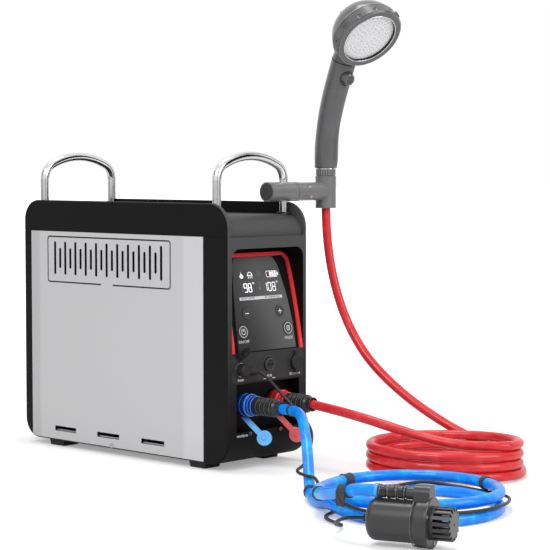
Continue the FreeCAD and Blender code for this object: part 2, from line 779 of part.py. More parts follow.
def accent_strip():
    """Raised inverted U that frames the control panel."""
    outer = dim("accent_half")
    crest = dim("accent_top")
    low = dim("console_bottom")
    corner = dim("accent_corner")
    thin = dim("accent_width")
    inner, sill = outer - thin, crest - thin
    bend = corner - thin
    corners = [
        (outer, low), (outer, crest - corner),
        (outer - corner, crest, (outer - corner * DIAGONAL, crest - corner * DIAGONAL)),
        (corner - outer, crest),
        (-outer, crest - corner, (corner * DIAGONAL - outer, crest - corner * DIAGONAL)),
        (-outer, low), (-inner, low), (-inner, crest - corner),
        (bend - inner, sill, (bend * DIAGONAL - inner, sill - bend * DIAGONAL)),
        (inner - bend, sill),
        (inner, crest - corner, (inner - bend * DIAGONAL, sill - bend * DIAGONAL)),
        (inner, low),
    ]
    prism = extruded("accent_prism", "XZ_Plane", corners, front - 5, front + 40)
    height = dim("accent_height") - dim("panel_thickness")
    layer = console_layer("accent_layer", -dim("panel_thickness"), float(height), outer + 2,
                          float(low) - 5, float(crest) + 5)
    return common("accent_strip", layer, prism)


def control_panel():
    """Curved keypad panel with four button bores; narrower towards the top."""
    low, high = dim("console_bottom") + 1.0, 246.0
    corners = [
        (49.0, low), (48.0, 170.0), (45.0, 200.0), (40.0, 226.0),
        (33.0, high - 1.5, (37.6, 237.5)),
        (30.5, high, (32.3, high - 0.4)),
        (-30.5, high), (-33.0, high - 1.5, (-32.3, high - 0.4)),
        (-40.0, 226.0, (-37.6, 237.5)), (-45.0, 200.0), (-48.0, 170.0), (-49.0, low),
    ]
    prism = extruded("panel_prism", "XZ_Plane", corners, front - 5, front + 40)
    layer = console_layer("panel_layer", -dim("panel_thickness"), 0.0, 55.0,
                          float(low) - 5, float(high) + 5)
    return cut("control_panel", common("panel_blank", layer, prism), button_bores("panel_bores"))


def push_button(name):
    """Round key with a return flange behind the panel."""
    x, z, radius = BUTTONS[name]
    spot, normal = console_frame(float(z))
    depth, proud = float(dim("button_depth")), float(dim("button_proud"))
    start = (x, spot[0] - depth * normal[1], float(z) - depth * normal[2])
    total = depth + proud
    flange = radius + 1.2
    corners = [
        (0.0, 0.0), (flange, 0.0), (flange, 0.8), (radius, 0.8), (radius, total - 0.5),
        (radius - 0.5, total, (radius - 0.15, total - 0.15)), (0.0, total),
    ]
    return revolved(name, corners, start, normal)


def port_plate():
    """Flat plate with the pump socket, the fuse holder and the charging socket."""
    plate = box("plate_blank", (-dim("console_half") + gap, dim("console_half") - gap),
                (front, front + dim("plate_thickness")),
                (dim("plate_bottom"), dim("console_bottom") - gap))
    bores = []
    for key in ("socket", "fuse", "charge"):
        at = (dim(key + "_x"), front - 1, dim(key + "_z"))
        bores.append(cylinder(key + "_bore", 6.2, 6, at, (0, 1, 0)))
    pegs = []
    for key, rise in (("socket", 9.6), ("charge", 11.8)):
        at = (dim(key + "_x"), front + 1, dim(key + "_z") + rise)
        pegs.append(cylinder(key + "_strap_peg", 1.2, 1.6, at, (0, -1, 0)))
    return cut("port_plate", fuse("plate_with_pegs", plate, *pegs), *bores)


def panel_sockets():
    """The pump socket and the charging socket."""
    barrels = [socket_barrel(key + "_barrel", key) for key in ("socket", "charge")]
    return group("panel_sockets", *barrels)


def socket_barrel(name, key):
    """Panel socket: a flange on the plate, a threaded barrel and a centre pin."""
    at = (dim(key + "_x"), front, dim(key + "_z"))
    corners = [
        (0.0, 14.0), (0.0, 3.0), (1.0, 3.0), (1.0, 11.0), (3.2, 11.0), (3.2, -1.0), (8.0, -1.0),
        (8.0, 0.0), (6.0, 0.0), (6.0, 14.0),
    ]
    return revolved(name, corners, at, (0, 1, 0))


def fuse_cap():
    """Screw cap of the fuse holder, with a coin slot."""
    at = (dim("fuse_x"), front, dim("fuse_z"))
    corners = [
        (0.0, -20.0), (5.9, -20.0), (5.9, 0.0), (8.0, 0.0), (8.0, 1.6),
        (7.2, 2.4, (7.76, 2.16)), (0.0, 2.4),
    ]
    knob = revolved("fuse_knob", corners, at, (0, -1, 0))
    slot = box("coin_slot", (dim("fuse_x") - 6.0, dim("fuse_x") + 6.0), (front - 3, front - 1.1),
               (dim("fuse_z") - 0.8, dim("fuse_z") + 0.8))
    return cut("fuse_cap", knob, slot)


def charge_cap():
    """Rubber dust cap with a short plug in the socket, a lift tab and a strap to swing on."""
    at = (dim("charge_x"), front - 1, dim("charge_z"))
    corners = [
        (0.0, -2.4), (2.8, -2.4), (2.8, 0.0), (9.4, 0.0), (9.4, 2.6),
        (8.2, 3.8, (9.05, 3.45)), (0.0, 3.8),
    ]
    disc = revolved("charge_disc", corners, at, (0, -1, 0))
    tab = box("charge_tab", (dim("charge_x") - 3.0, dim("charge_x") + 3.0), (front - 3.2, front - 1),
              (dim("charge_z") - 12.5, dim("charge_z") - 7.0))
    strap = box("charge_strap", (dim("charge_x") - 3.0, dim("charge_x") + 3.0),
                (front - 3.0, front - 1), (dim("charge_z") + 7.0, dim("charge_z") + 13.0))
    return fuse("charge_socket_cap", disc, tab, strap)


# ---------------------------------------------------------------- water and gas connections

def port_point(side):
    """Middle of the recess wall behind a water port."""
    return (dim("port_x") * side, front + dim("recess_depth"), dim("port_z"))


def water_nipples():
    """The cold inlet nipple and the hot outlet nipple."""
    return group("water_nipples", nipple("inlet_nipple", -1), nipple("outlet_nipple", 1))


def nipple(name, side):
    """Water nipple: threaded tail through the wall, a flange and a smooth spigot."""
    radius = dim("nipple_radius")
    corners = [
        (4.0, -14.5), (6.0, -14.5), (6.0, 0.0), (11.0, 0.0), (11.0, 2.5), (radius, 2.5),
        (radius, 21.0), (radius - 1.0, 22.0), (4.0, 22.0),
    ]
    return revolved(name, corners, port_point(side), (0, -1, 0))


def lock_ring(name, side):
    """Spring ring that is pulled back to free the coupler."""
    inner = 9.6
    wide = dim("tether_radius")
    corners = [
        (inner, 10.5), (wide - 0.6, 10.5), (wide, 11.2), (wide, 15.0), (wide - 0.6, 15.7),
        (10.7, 16.4), (10.7, 20.4), (11.5, 21.0), (11.5, 24.0), (10.9, 24.6), (inner, 24.6),
    ]
    return revolved(name, corners, port_point(side), (0, -1, 0))


def coupler(name, side):
    """Quick coupler body: sleeve over the nipple, ribbed grip and a cup for the hose end."""
    grip = dim("coupler_radius")
    length = port_point(side)[1] - dim("coupler_end")
    corners = [(0.0, 24.0), (7.8, 24.0), (7.8, 9.4), (9.4, 9.4), (9.4, 28.4), (grip, 28.4)]
    for height in (34.0, 41.0, 48.0):
        corners += [(grip, height), (grip - 0.9, height + 0.6), (grip - 0.9, height + 1.6),
                    (grip, height + 2.2)]
    cup = dim("blue_radius") + 0.4
    corners += [(grip, length - 6.5), (grip - 1.8, length - 4.0), (8.2, length), (cup, length),
                (cup, length - 1.2), (0.0, length - 1.2)]
    return revolved(name, corners, port_point(side), (0, -1, 0))


def stopper(name, side, hang):
    """Tethered stopper: ring round the nipple, flat strap and a knobbed plug."""
    start = (dim("port_x") * side, port_point(side)[1], dim("port_z"))
    ring = revolved(name + "_ring", [
        (7.9, 3.2), (dim("tether_radius"), 3.2), (dim("tether_radius"), 8.4), (7.9, 8.4),
    ], start, (0, -1, 0))
    root = Vector(float(start[0]) - 2.6, float(start[1]) - 5.2, float(start[2]) - 13.2)
    plug = Vector(*hang)
    along = plug - root
    reach = along.Length - 6.0
    along.normalize()
    facing = Vector(-0.73, -0.68, 0.1)
    facing = (facing - along * facing.dot(along)).normalize()
    across = facing.cross(along)
    turn = Rotation(along, across, facing, "XYZ")
    strap = doc.addObject("Part::Box", name + "_strap")
    strap.Length, strap.Width, strap.Height = reach, 6.6, 2.0
    strap.Placement = Placement(root - across * 3.3 - facing, turn)
    face = revolved(name + "_plug", [
        (0.0, -5.0), (5.6, -5.0), (5.6, -1.4), (dim("stopper_radius"), -1.4),
        (dim("stopper_radius"), 1.4), (7.6, 2.2), (3.0, 2.2), (2.4, 4.0), (0.0, 4.0),
    ], tuple(plug), tuple(facing))
    return fuse(name, ring, strap, face)


def gas_inlet():
    """Brass flare fitting through the rear cover."""
    thread = dim("gas_thread_radius")
    corners = [
        (2.5, -22.0), (thread, -22.0), (thread, 0.0), (11.5, 0.0), (11.5, 4.5), (thread, 4.5),
        (thread, dim("gas_thread_length") + 3.5), (thread - 1.0, dim("gas_thread_length") + 4.5),
        (2.5, dim("gas_thread_length") + 4.5),
    ]
    return revolved("gas_inlet", corners, (0, rear, dim("gas_z")), (0, 1, 0))


# ---------------------------------------------------------------- working parts inside

PAN_TOP = bottom + wall


def battery_pack():
    """Rechargeable battery on the floor tray."""
    return box("battery_pack", (-45.0, 45.0), (-128.0, -58.0), (PAN_TOP, 60.0))


def display_board():
    """Keypad and display board behind the console, held by the cheeks."""
    plate = box("display_plate", (-62.4, 62.4), (front + 32, front + 33.6), (146.0, 250.0))
    screen = box("display_screen", (-34.0, 34.0), (front + 33.6, front + 38), (195.0, 235.0))
    return fuse("display_board", plate, screen)


def control_board():
    """Upright control board with a transformer and two relays."""
    plate = box("control_plate", (-21.0, 21.0), (-64.0, -62.4), (60.0, 140.0))
    coil = box("control_coil", (-16.0, 4.0), (-80.0, -64.0), (100.0, 124.0))
    relays = [box("relay_%d" % number, (x, x + 11.0), (-76.0, -64.0), (72.0, 88.0))
              for number, x in enumerate((-16.0, 2.0))]
    return fuse("control_board", plate, coil, *relays)


def fan_housing():
    """Round blower casing under the burner with an axle pin."""
    casing = cylinder("blower_drum", 46.0, 28.0, (0, 95.0, PAN_TOP))
    hollow = cylinder("blower_hollow", 42.0, 24.0, (0, 95.0, PAN_TOP + 2))
    mouth = cylinder("blower_mouth", 34.0, 6.0, (0, 95.0, PAN_TOP + 24))
    shell = cut("blower_shell", casing, hollow, mouth)
    axle = cylinder("blower_axle", 3.0, 20.0, (0, 95.0, PAN_TOP + 1))
    return fuse("fan_housing", shell, axle)


def blade_wheel(name, at, direction, hub, tip, bore, height, plate, blades, thickness):
    """Wheel of straight blades on a hub and a back plate."""
    body = revolved(name, [
        (bore, 0.0), (tip, 0.0), (tip, plate), (hub, plate), (hub, height), (bore, height),
    ], at, direction)
    sketch = sketch_on(body, name + "_blade_outline", "XY_Plane", plate * 0.5)
    half = thickness / 2
    outline(sketch, [(hub - 1, -half), (tip - 0.5, -half), (tip - 0.5, half), (hub - 1, half)])
    blade = pad(body, name + "_blade", sketch, height - plate * 0.5 - 1.0)
    doc.recompute()
    repeat_round(body, name + "_blades", blade, sketch, blades)
    return body


def combustion_chamber():
    """Open sheet shaft over the blower on four legs."""
    outer = box("chamber_outside", (-50.0, 50.0), (-40.0, 120.0), (60.0, 150.0))
    inner = box("chamber_inside", (-48.5, 48.5), (-38.5, 118.5), (59.0, 151.0))
    pipe = cylinder("chamber_pipe_hole", 4.2, 4.0, (0, 117.0, 66.0), (0, 1, 0))
    spark = cylinder("chamber_spark_hole", 3.1, 4.0, (20.0, -42.0, 96.0), (0, 1, 0))
    shaft = cut("chamber_shaft", outer, inner, pipe, spark)
    legs = []
    for x in (-50.0, 48.5):
        for y in (-40.0, 108.0):
            leg = box("chamber_leg_%d_%d" % (x, y), (x, x + 1.5), (y, y + 12.0), (PAN_TOP, 62.0))
            legs.append(leg)
    return fuse("combustion_chamber", shaft, *legs)


def burner():
    """Gas box with a row of burner bars."""
    pieces = [box("burner_box", (-48.5, 48.5), (-38.5, 118.5), (62.0, 70.0))]
    for number in range(7):
        y = -28.0 + 21.0 * number
        pieces.append(box("burner_bar_%d" % number, (-42.0, 42.0), (y, y + 9.0), (70.0, 84.0)))
    return fuse("burner", *pieces)


def heat_exchanger():
    """Water jacket with fins, two tubes and the header block that joins them at the rear."""
    outer = box("jacket_outside", (-50.0, 50.0), (-40.0, 120.0), (150.0, 190.0))
    inner = box("jacket_inside", (-48.5, 48.5), (-38.5, 118.5), (149.0, 191.0))
    pieces = [cut("jacket", outer, inner)]
    for number in range(11):
        y = -27.0 + 13.2 * number
        pieces.append(box("fin_%d" % number, (-49.0, 49.0), (y, y + 1.0), (154.0, 186.0)))
    for side in (-1, 1):
        pieces.append(cylinder("fin_tube_%d" % (side + 1), 6.0, 168.0, (30.0 * side, -44.0, 170.0),
                               (0, 1, 0)))
    pieces.append(box("fin_header", (-38.0, 38.0), (121.5, 133.0), (162.0, 178.0)))
    return fuse("heat_exchanger", *pieces)


def exhaust_hood():
    """Hood that turns the burnt gas out through both side grilles."""
    neck = box("hood_neck", (-50.0, 50.0), (-40.0, 120.0), (190.0, 206.0))
    wide = box("hood_wide", (-62.0, 62.0), (-94.0, 142.0), (204.5, 268.0))
    solid = fuse("hood_solid", neck, wide)
    passage = box("hood_passage", (-48.5, 48.5), (-38.5, 118.5), (189.0, 207.0))
    hollow = box("hood_hollow", (-63.0, 63.0), (-92.5, 140.5), (206.0, 266.5))
    return cut("exhaust_hood", solid, passage, hollow)


def gas_valve():
    """Gas valve block behind the inlet with its solenoid and burner pipe."""
    block = box("valve_block", (-20.0, 20.0), (130.0, rear - 22), (46.0, 74.0))
    coil = cylinder("valve_solenoid", 9.0, 20.0, (8.0, 146.0, 74.0))
    pipe = cylinder("burner_pipe", 4.0, 11.5, (0, 118.5, 66.0), (0, 1, 0))
    return fuse("gas_valve", block, coil, pipe)


def igniter():
    """Ceramic spark rod through the chamber wall."""
    rod = cylinder("spark_rod", 3.0, 22.0, (20.0, -52.0, 96.0), (0, 1, 0))
    wire = cylinder("spark_wire", 0.8, 14.0, (20.0, -31.0, 96.0), (0, 1, 0))
    return fuse("igniter_electrode", rod, wire)


def flow_sensor():
    """Flow sensor on the cold nipple."""
    tail = port_point(-1)[1] + 14.5
    barrel = cylinder("sensor_barrel", 8.5, 30.0, (-dim("port_x"), tail, dim("port_z")), (0, 1, 0))
    head = cylinder("sensor_head", 6.0, 9.0, (-dim("port_x"), tail + 15, dim("port_z") + 6.0))
    return fuse("flow_sensor", barrel, head)


def water_pipe(name, side, start_y):
    """Pipe from a water port up to the heat exchanger."""
    x = float(dim("port_x")) * side
    points = [
        (x, start_y, 75.0), (x, start_y + 18.0, 75.0), (x, -95.0, 80.0), (x, -84.0, 96.0),
        (x, -82.0, 126.0), (x * 1.02, -80.0, 152.0), (x * 1.08, -68.0, 168.0),
        (30.0 * side, -50.0, 170.0), (30.0 * side, -44.0, 170.0),
    ]
    return round_tube(name, points, 4.5, 3.3)


# ---------------------------------------------------------------- hand shower and its holder

shower_x = dim("shower_x")
shower_y = -dim("handle_reach")
HEADING = math.radians(float(dim("shower_turn")))
DIP = math.radians(float(dim("head_dip")))
SPRAY = (math.cos(DIP), -math.sin(DIP))
NECK = (0.45, 0.893)
STOP = (0.907, -0.421)
STOP_ROOT = (28.2, 464.6)


def shower_point(reach, height):
    """World point in the hand shower's own plane: reach in front of the holder axis."""
    return (float(shower_x) + reach * math.cos(HEADING),
            float(shower_y) + reach * math.sin(HEADING), height)


def shower_direction(reach, rise):
    """World direction of a line in the hand shower's plane."""
    return (reach * math.cos(HEADING), reach * math.sin(HEADING), rise)


def holder_clamp():
    """Split clamp round the handle leg."""
    z = dim("holder_z")
    radius = dim("arm_radius")
    bar = cylinder("clamp_bar", radius, 81.0 - dim("arm_end"), (dim("arm_end"), shower_y, z),
                   (1, 0, 0))
    bore = cylinder("clamp_bore", dim("handle_radius") + 0.1, 2 * radius + 4,
                    (dim("handle_half"), shower_y, z - radius - 2))
    split_gap = box("clamp_split", (dim("handle_half"), 76.0), (shower_y - 0.6, shower_y + 0.6),
                    (z - radius - 1, z + radius + 1))
    return cut("holder_clamp", bar, bore, split_gap)


def holder_socket():
    """Arm with its upright socket, joined by a saddle."""
    z = dim("holder_z")
    arm = cylinder("socket_arm", dim("arm_radius") - 0.5, shower_x - 81.0, (81.0, shower_y, z),
                   (1, 0, 0))
    sleeve = cylinder("socket_sleeve", dim("socket_radius"),
                      dim("socket_top") - dim("socket_bottom"),
                      (shower_x, shower_y, dim("socket_bottom")))
    bore = cylinder("socket_bore", 10.0, 60.0, (shower_x, shower_y, dim("socket_bottom") - 5))
    return cut("holder_socket", fuse("socket_solid", arm, sleeve), bore)


def hose_nut():
    """Tapered hose nut that rests in the holder socket."""
    seat = dim("socket_top")
    corners = [
        (5.85, 303.0), (8.9, 303.0), (9.7, seat), (dim("nut_radius"), seat),
        (dim("nut_radius"), dim("nut_top") - 0.6), (dim("nut_radius") - 0.6, dim("nut_top")),
        (5.85, dim("nut_top")),
    ]
    return revolved("hose_nut", corners, (shower_x, shower_y, 0))


HANDLE_STATIONS = (
    (0.0, 350.2, 0.0, 13.2), (0.6, 356.5, 2.0, 14.0), (2.8, 389.0, 6.0, 14.2),
    (8.6, 415.0, 17.0, 14.3), (18.3, 441.5, 23.0, 14.7), (27.2, 461.5, 25.0, 14.9),
    (35.4, 479.2, 26.7, 14.9),
)


def shower_handle():
    """Gently bent grip lofted through round sections, with an inlet and a button bore."""
    body = doc.addObject("PartDesign::Body", "grip_body")
    sections = []
    for number, (reach, height, tilt, radius) in enumerate(HANDLE_STATIONS):
        sketch = sketch_on(body, "grip_section_%d" % number, "XY_Plane")
        sketch.setExpression("AttachmentOffset.Base.z", None)
        sketch.AttachmentOffset = Placement(Vector(reach, 0, height), Rotation(Vector(0, 1, 0), tilt))
        circle(sketch, (0.0, 0.0), radius)
        sections.append(sketch)
    doc.recompute()
    loft = body.newObject("PartDesign::AdditiveLoft", "grip_loft")
    loft.Profile = sections[0]
    loft.Sections = sections[1:]
    loft.Ruled = False
    put(body, (shower_x, shower_y, 0), (0, 0, 1), float(dim("shower_turn")))
    inlet = cylinder("grip_inlet", 8.0, 11.0, (shower_x, shower_y, dim("nut_top") - 1))
    root = [shower_point(STOP_ROOT[0] + STOP[0] * reach, STOP_ROOT[1] + STOP[1] * reach)
            for reach in (5.0, 12.0)]
    axis = shower_direction(*STOP)
    bore = cylinder("stop_bore", dim("stop_radius") + 0.3, 20.0, root[0], axis)
    recess = cylinder("stop_recess", dim("stop_radius") + 2.3, 12.0, root[1], axis)
    return cut("shower_handle", body, inlet, bore, recess)


def stop_button():
    """Push button that shuts the water off at the hand shower."""
    radius = dim("stop_radius")
    start = shower_point(STOP_ROOT[0] + STOP[0] * 9.0, STOP_ROOT[1] + STOP[1] * 9.0)
    corners = [
        (0.0, 0.0), (radius, 0.0), (radius, 11.2), (radius - 1.2, 12.2), (0.0, 12.6),
    ]
    return revolved("stop_button", corners, start, shower_direction(*STOP))


def spray_point():
    """Centre of the spray face."""
    return shower_point(float(dim("head_reach")), float(dim("head_height")))


def shower_head():
    """Domed head shell with its neck and a hanging hook."""
    back = shower_direction(-SPRAY[0], -SPRAY[1])
    deep = dim("head_depth")
    rim = dim("bezel_radius") - 1.8
    dome = revolved("head_dome", [
        (0.0, deep), (rim, 16.0, (rim * 0.7, 16.0 + (deep - 16.0) * 0.71)), (rim, 13.2),
        (rim - 2.2, 13.2), (rim - 2.2, 16.0),
        (0.0, deep - 2.4, (rim * 0.7 - 1.6, 16.0 + (deep - 18.4) * 0.71)),
    ], spray_point(), back)
    start = shower_point(35.7, 479.7)
    neck = cone("head_neck", 14.9, 13.2, 22.0, start, shower_direction(*NECK))
    hook = extruded("head_hook", "XZ_Plane", [
        (40.0, 502.0), (29.0, 511.5), (35.5, 538.0), (52.0, 542.5), (56.0, 538.5), (46.0, 531.5),
        (49.0, 537.8), (38.4, 535.0), (32.6, 513.6), (37.2, 511.0), (43.0, 519.0),
    ], -6.0, 6.0)
    put(hook, (shower_x, shower_y, 0), (0, 0, 1), float(dim("shower_turn")))
    mouth = shower_point(float(dim("head_reach")) + SPRAY[0] * 1.9,
                         float(dim("head_height")) + SPRAY[1] * 1.9)
    clearance = cylinder("bezel_clearance", dim("bezel_radius") + 0.5, 15.0, mouth, back)
    seat = cylinder("plate_seat", dim("bezel_radius") - 3.8, 18.6, mouth, back)
    return cut("shower_head", fuse("head_solid", dome, cut("neck_trimmed", neck, seat), hook),
               clearance)


def spray_bezel():
    """Grip ring round the spray face; it turns to change the spray."""
    back = shower_direction(-SPRAY[0], -SPRAY[1])
    outer = dim("bezel_radius")
    inner = dim("bezel_opening")
    ring = revolved("bezel_ring", [
        (inner, 0.8), (inner + 0.8, 0.0), (outer - 1.6, 0.0), (outer, 1.6), (outer, 12.8),
        (39.0, 12.8), (39.0, 6.0), (inner, 6.0),
    ], spray_point(), back)
    grooves = []
    for number in range(12):
        angle = math.radians(30.0 * number + 15.0)
        across = Vector(-math.sin(HEADING), math.cos(HEADING), 0)
        upward = Vector(*shower_direction(-SPRAY[1], SPRAY[0]))
        offset = (across * math.cos(angle) + upward * math.sin(angle)) * (float(outer) + 4.2)
        start = Vector(*spray_point()) + offset - Vector(*back)
        grooves.append(cylinder("bezel_groove_%d" % number, 5.0, 8.0, tuple(start), back))
    return cut("spray_bezel", ring, *grooves)


def spray_plate():
    """Nozzle plate behind the bezel, with its skirt inside the head."""
    back = shower_direction(-SPRAY[0], -SPRAY[1])
    skirt = dim("bezel_radius") - 4.1
    return revolved("spray_plate", [
        (0.0, 6.2), (skirt, 6.2), (skirt, 16.0), (skirt - 1.6, 16.0), (skirt - 1.6, 8.6), (0.0, 8.6),
    ], spray_point(), back)


# ---------------------------------------------------------------- pump

PUMP = math.radians(float(dim("pump_turn")))
PUMP_AXIS = (math.cos(PUMP), math.sin(PUMP), 0)
PUMP_HEIGHT = dim("flange_radius")


def pump_point(along, rise=0.0):
    """World point by its distance in front of the pump flange and above the pump axis."""
    return (dim("pump_x") + along * PUMP_AXIS[0], dim("pump_y") + along * PUMP_AXIS[1],
            PUMP_HEIGHT + rise)


def pump_body():
    """Sealed motor barrel with a rounded rear end, a cable boss and the impeller shaft."""
    radius = dim("pump_radius")
    length = dim("pump_length")
    seat = -dim("collar_length")
    corners = [
        (0.0, -length), (13.0, -length),
        (radius, 7.0 - length, (radius - 2.05, 2.05 - length)), (radius, seat), (2.4, seat),
        (2.4, -5.0), (0.0, -5.0),
    ]
    barrel = revolved("pump_barrel", corners, pump_point(0.0), PUMP_AXIS)
    boss = cylinder("cable_boss", 3.4, 4.0, pump_point(-float(length) - 3.0), PUMP_AXIS)
    return fuse("pump_body", barrel, boss)


def pump_collar():
    """Volute collar: impeller chamber, front flange and the outlet boss on top."""
    flange = dim("flange_radius")
    depth = dim("collar_length")
    outside = revolved("collar_outside", [
        (0.0, -depth), (20.6, -depth), (22.8, 4.5 - depth), (23.2, -2.4), (flange, -2.4),
        (flange, -0.6), (flange - 0.6, 0.0), (0.0, 0.0),
    ], pump_point(0.0), PUMP_AXIS)
    rise = dim("outlet_rise")
    boss = cylinder("collar_boss", 8.6, depth - 1.0, pump_point(-float(depth), rise), PUMP_AXIS)
    web = doc.addObject("Part::Box", "collar_web")
    web.Length, web.Width, web.Height = float(depth) - 1.0, 17.2, float(rise) - 8.0
    corner = Vector(*[float(value) for value in pump_point(-float(depth), 8.0)])
    side = Vector(-PUMP_AXIS[1], PUMP_AXIS[0], 0) * -8.6
    web.Placement = Placement(corner + side, Rotation(Vector(0, 0, 1), float(dim("pump_turn"))))
    chamber = revolved("collar_chamber", [
        (0.0, -depth - 1), (17.0, -depth - 1), (17.0, -2.6), (10.0, -2.6), (10.0, 1.0), (0.0, 1.0),
    ], pump_point(0.0), PUMP_AXIS)
    duct = cylinder("collar_duct", 3.6, 10.0, pump_point(-float(depth) - 1, rise), PUMP_AXIS)
    return cut("pump_collar", fuse("collar_solid", outside, boss, web, outlet_pipe()), chamber, duct)


def outlet_pipe():
    """Ribbed outlet pipe that runs back from the collar above the motor barrel."""
    corners = [(3.6, 0.0), (5.9, 0.0)]
    for height in (8.0, 17.0, 26.0):
        corners += [(5.9, height), (5.0, height + 0.8), (5.0, height + 3.2), (5.9, height + 4.0)]
    corners += [(5.9, 36.4), (3.6, 36.4)]
    return revolved("outlet_pipe", corners,
                    pump_point(-float(dim("collar_length")), dim("outlet_rise")),
                    tuple(-value for value in PUMP_AXIS))


def strainer_basket():
    """Twist-on strainer cup with slots that run out through its front edge."""
    outer = dim("strainer_radius")
    length = dim("strainer_length")
    body = revolved("strainer_basket", [
        (outer - 2.2, 0.2), (outer, 0.2), (outer, length - 0.8), (outer - 0.8, length),
        (1.3, length), (1.3, length - 2.2), (outer - 2.2, length - 2.2),
    ], pump_point(0.0), PUMP_AXIS)
    sketch = sketch_on(body, "strainer_slot", "XY_Plane", length + 1.0)
    outline(sketch, [(outer - 3.4, -1.35), (outer + 2.0, -1.35), (outer + 2.0, 1.35),
                     (outer - 3.4, 1.35)])
    doc.recompute()
    slot = pocket(body, "strainer_cut", sketch, length - 2.5)
    repeat_round(body, "strainer_slots", slot, sketch, 16)
    return body


# ---------------------------------------------------------------- hoses, cable and what is on them

RED_RISER = (
    (133.4, -153.5, 336.0), (133.4, -153.5, 298.0), (133.9, -156.0, 259.0),
    (134.9, -163.0, 220.0), (136.6, -175.0, 183.0), (138.9, -191.5, 150.0),
    (142.0, -214.5, 119.0), (146.4, -246.0, 92.0), (151.2, -281.0, 69.0), (156.0, -314.0, 48.0),
)
RED_LEAD = (
    (27.0, -227.0, 75.0), (27.0, -249.0, 73.0), (27.6, -276.0, 70.0), (30.2, -305.0, 65.4),
    (35.0, -333.0, 59.6), (41.6, -361.0, 53.0), (50.0, -387.0, 47.2), (61.5, -409.0, 43.0),
    (76.0, -427.5, 41.2), (92.0, -440.0, 40.8),
)
BLUE_LEAD = (
    (-27.0, -227.0, 75.0), (-29.0, -247.0, 75.5), (-38.5, -266.0, 74.8), (-52.0, -283.0, 71.4),
    (-68.0, -301.0, 63.0), (-85.0, -319.5, 49.0), (-101.0, -336.0, 33.0), (-116.0, -350.5, 18.5),
    (-131.0, -365.5, 9.0), (-146.0, -383.0, 6.6),
)
BLUE_TAIL = (
    (-156.0, -400.0, 20.6), (-175.0, -415.0, 22.4), (-197.0, -434.0, 26.4),
    (-218.0, -455.0, 30.8), (-236.0, -477.0, 35.4), (-248.5, -499.5, 40.4),
    (-255.6, -522.5, 46.6), (-255.6, -541.7, 50.5),
)
CABLE_LEAD = (
    (-24.4, -190.7, 114.5), (-16.7, -194.0, 109.4), (-10.4, -202.0, 98.0), (-6.6, -213.0, 86.0),
    (-5.2, -226.0, 75.5), (-7.4, -240.0, 67.8), (-13.4, -255.0, 61.4), (-24.0, -271.5, 54.6),
    (-39.5, -286.5, 48.0), (-58.0, -300.0, 40.6), (-77.0, -313.5, 33.0), (-98.0, -324.5, 28.0),
    (-114.0, -331.5, 27.5), (-123.5, -341.0, 26.5), (-124.5, -352.5, 25.0),
    (-118.5, -360.0, 23.5), (-120.5, -366.0, 20.5), (-126.0, -373.5, 17.2),
    (-132.5, -380.5, 13.0),
)
CABLE_TAIL = (
    (-170.0, -431.0, 1.9), (-184.0, -435.0, 1.9), (-196.0, -444.0, 1.9), (-205.0, -460.0, 2.2),
    (-212.0, -478.0, 2.2), (-219.0, -487.0, 3.4), (-234.0, -491.5, 7.0), (-246.5, -502.0, 12.6),
    (-253.8, -515.5, 18.6), (-255.4, -530.0, 22.6),
)


def hose(name, points, radius, last=None):
    """Plain cord along its route; the last point can be the face that it meets."""
    route = list(points)
    if last is not None:
        route.append(tuple(float(value) for value in last))
    return round_tube(name, route, radius)


def coil_ring(name, centre, long_radius, short_radius, heading, margin, height):
    """Outer shape of a coil: an upright ring with an oval plan."""
    walls = []
    for kind, grow in (("outside", margin), ("inside", -margin)):
        oval = doc.addObject("Part::Ellipse", "%s_%s_oval" % (name, kind))
        oval.MajorRadius = long_radius + float(grow)
        oval.MinorRadius = short_radius + float(grow)
        oval.Placement = Placement(Vector(*centre), Rotation(Vector(0, 0, 1), heading))
        solid = doc.addObject("Part::Extrusion", "%s_%s" % (name, kind))
        solid.Base = oval
        solid.DirMode = "Custom"
        solid.Dir = Vector(0, 0, 1)
        solid.LengthFwd = height
        solid.Solid = True
        walls.append(solid)
    return cut(name, *walls)


def power_plug():
    """Right-angled plug in the pump socket."""
    x, z = dim("socket_x"), dim("socket_z")
    head = revolved("plug_head", [
        (0.0, 0.0), (7.4, 0.0), (7.4, 9.0), (6.2, 10.6), (0.0, 10.6),
    ], (x, front - 1.2, z), (0, -1, 0))
    tip = cylinder("plug_tip", 2.9, 10.0, (x, front + 7.0, z), (0, -1, 0))
    bore = cylinder("plug_bore", 1.1, 9.0, (x, front + 8.0, z), (0, -1, 0))
    barrel = cylinder("plug_barrel", 4.6, 16.0, (x, front - 7.0, z), (0.965, -0.06, -0.14))
    relief = cone("plug_relief", 3.4, 2.4, 7.0, (x + 15.2, front - 7.9, z - 2.2),
                  (0.965, -0.06, -0.14))
    return cut("power_plug", fuse("plug_solid", head, tip, barrel, relief), bore)


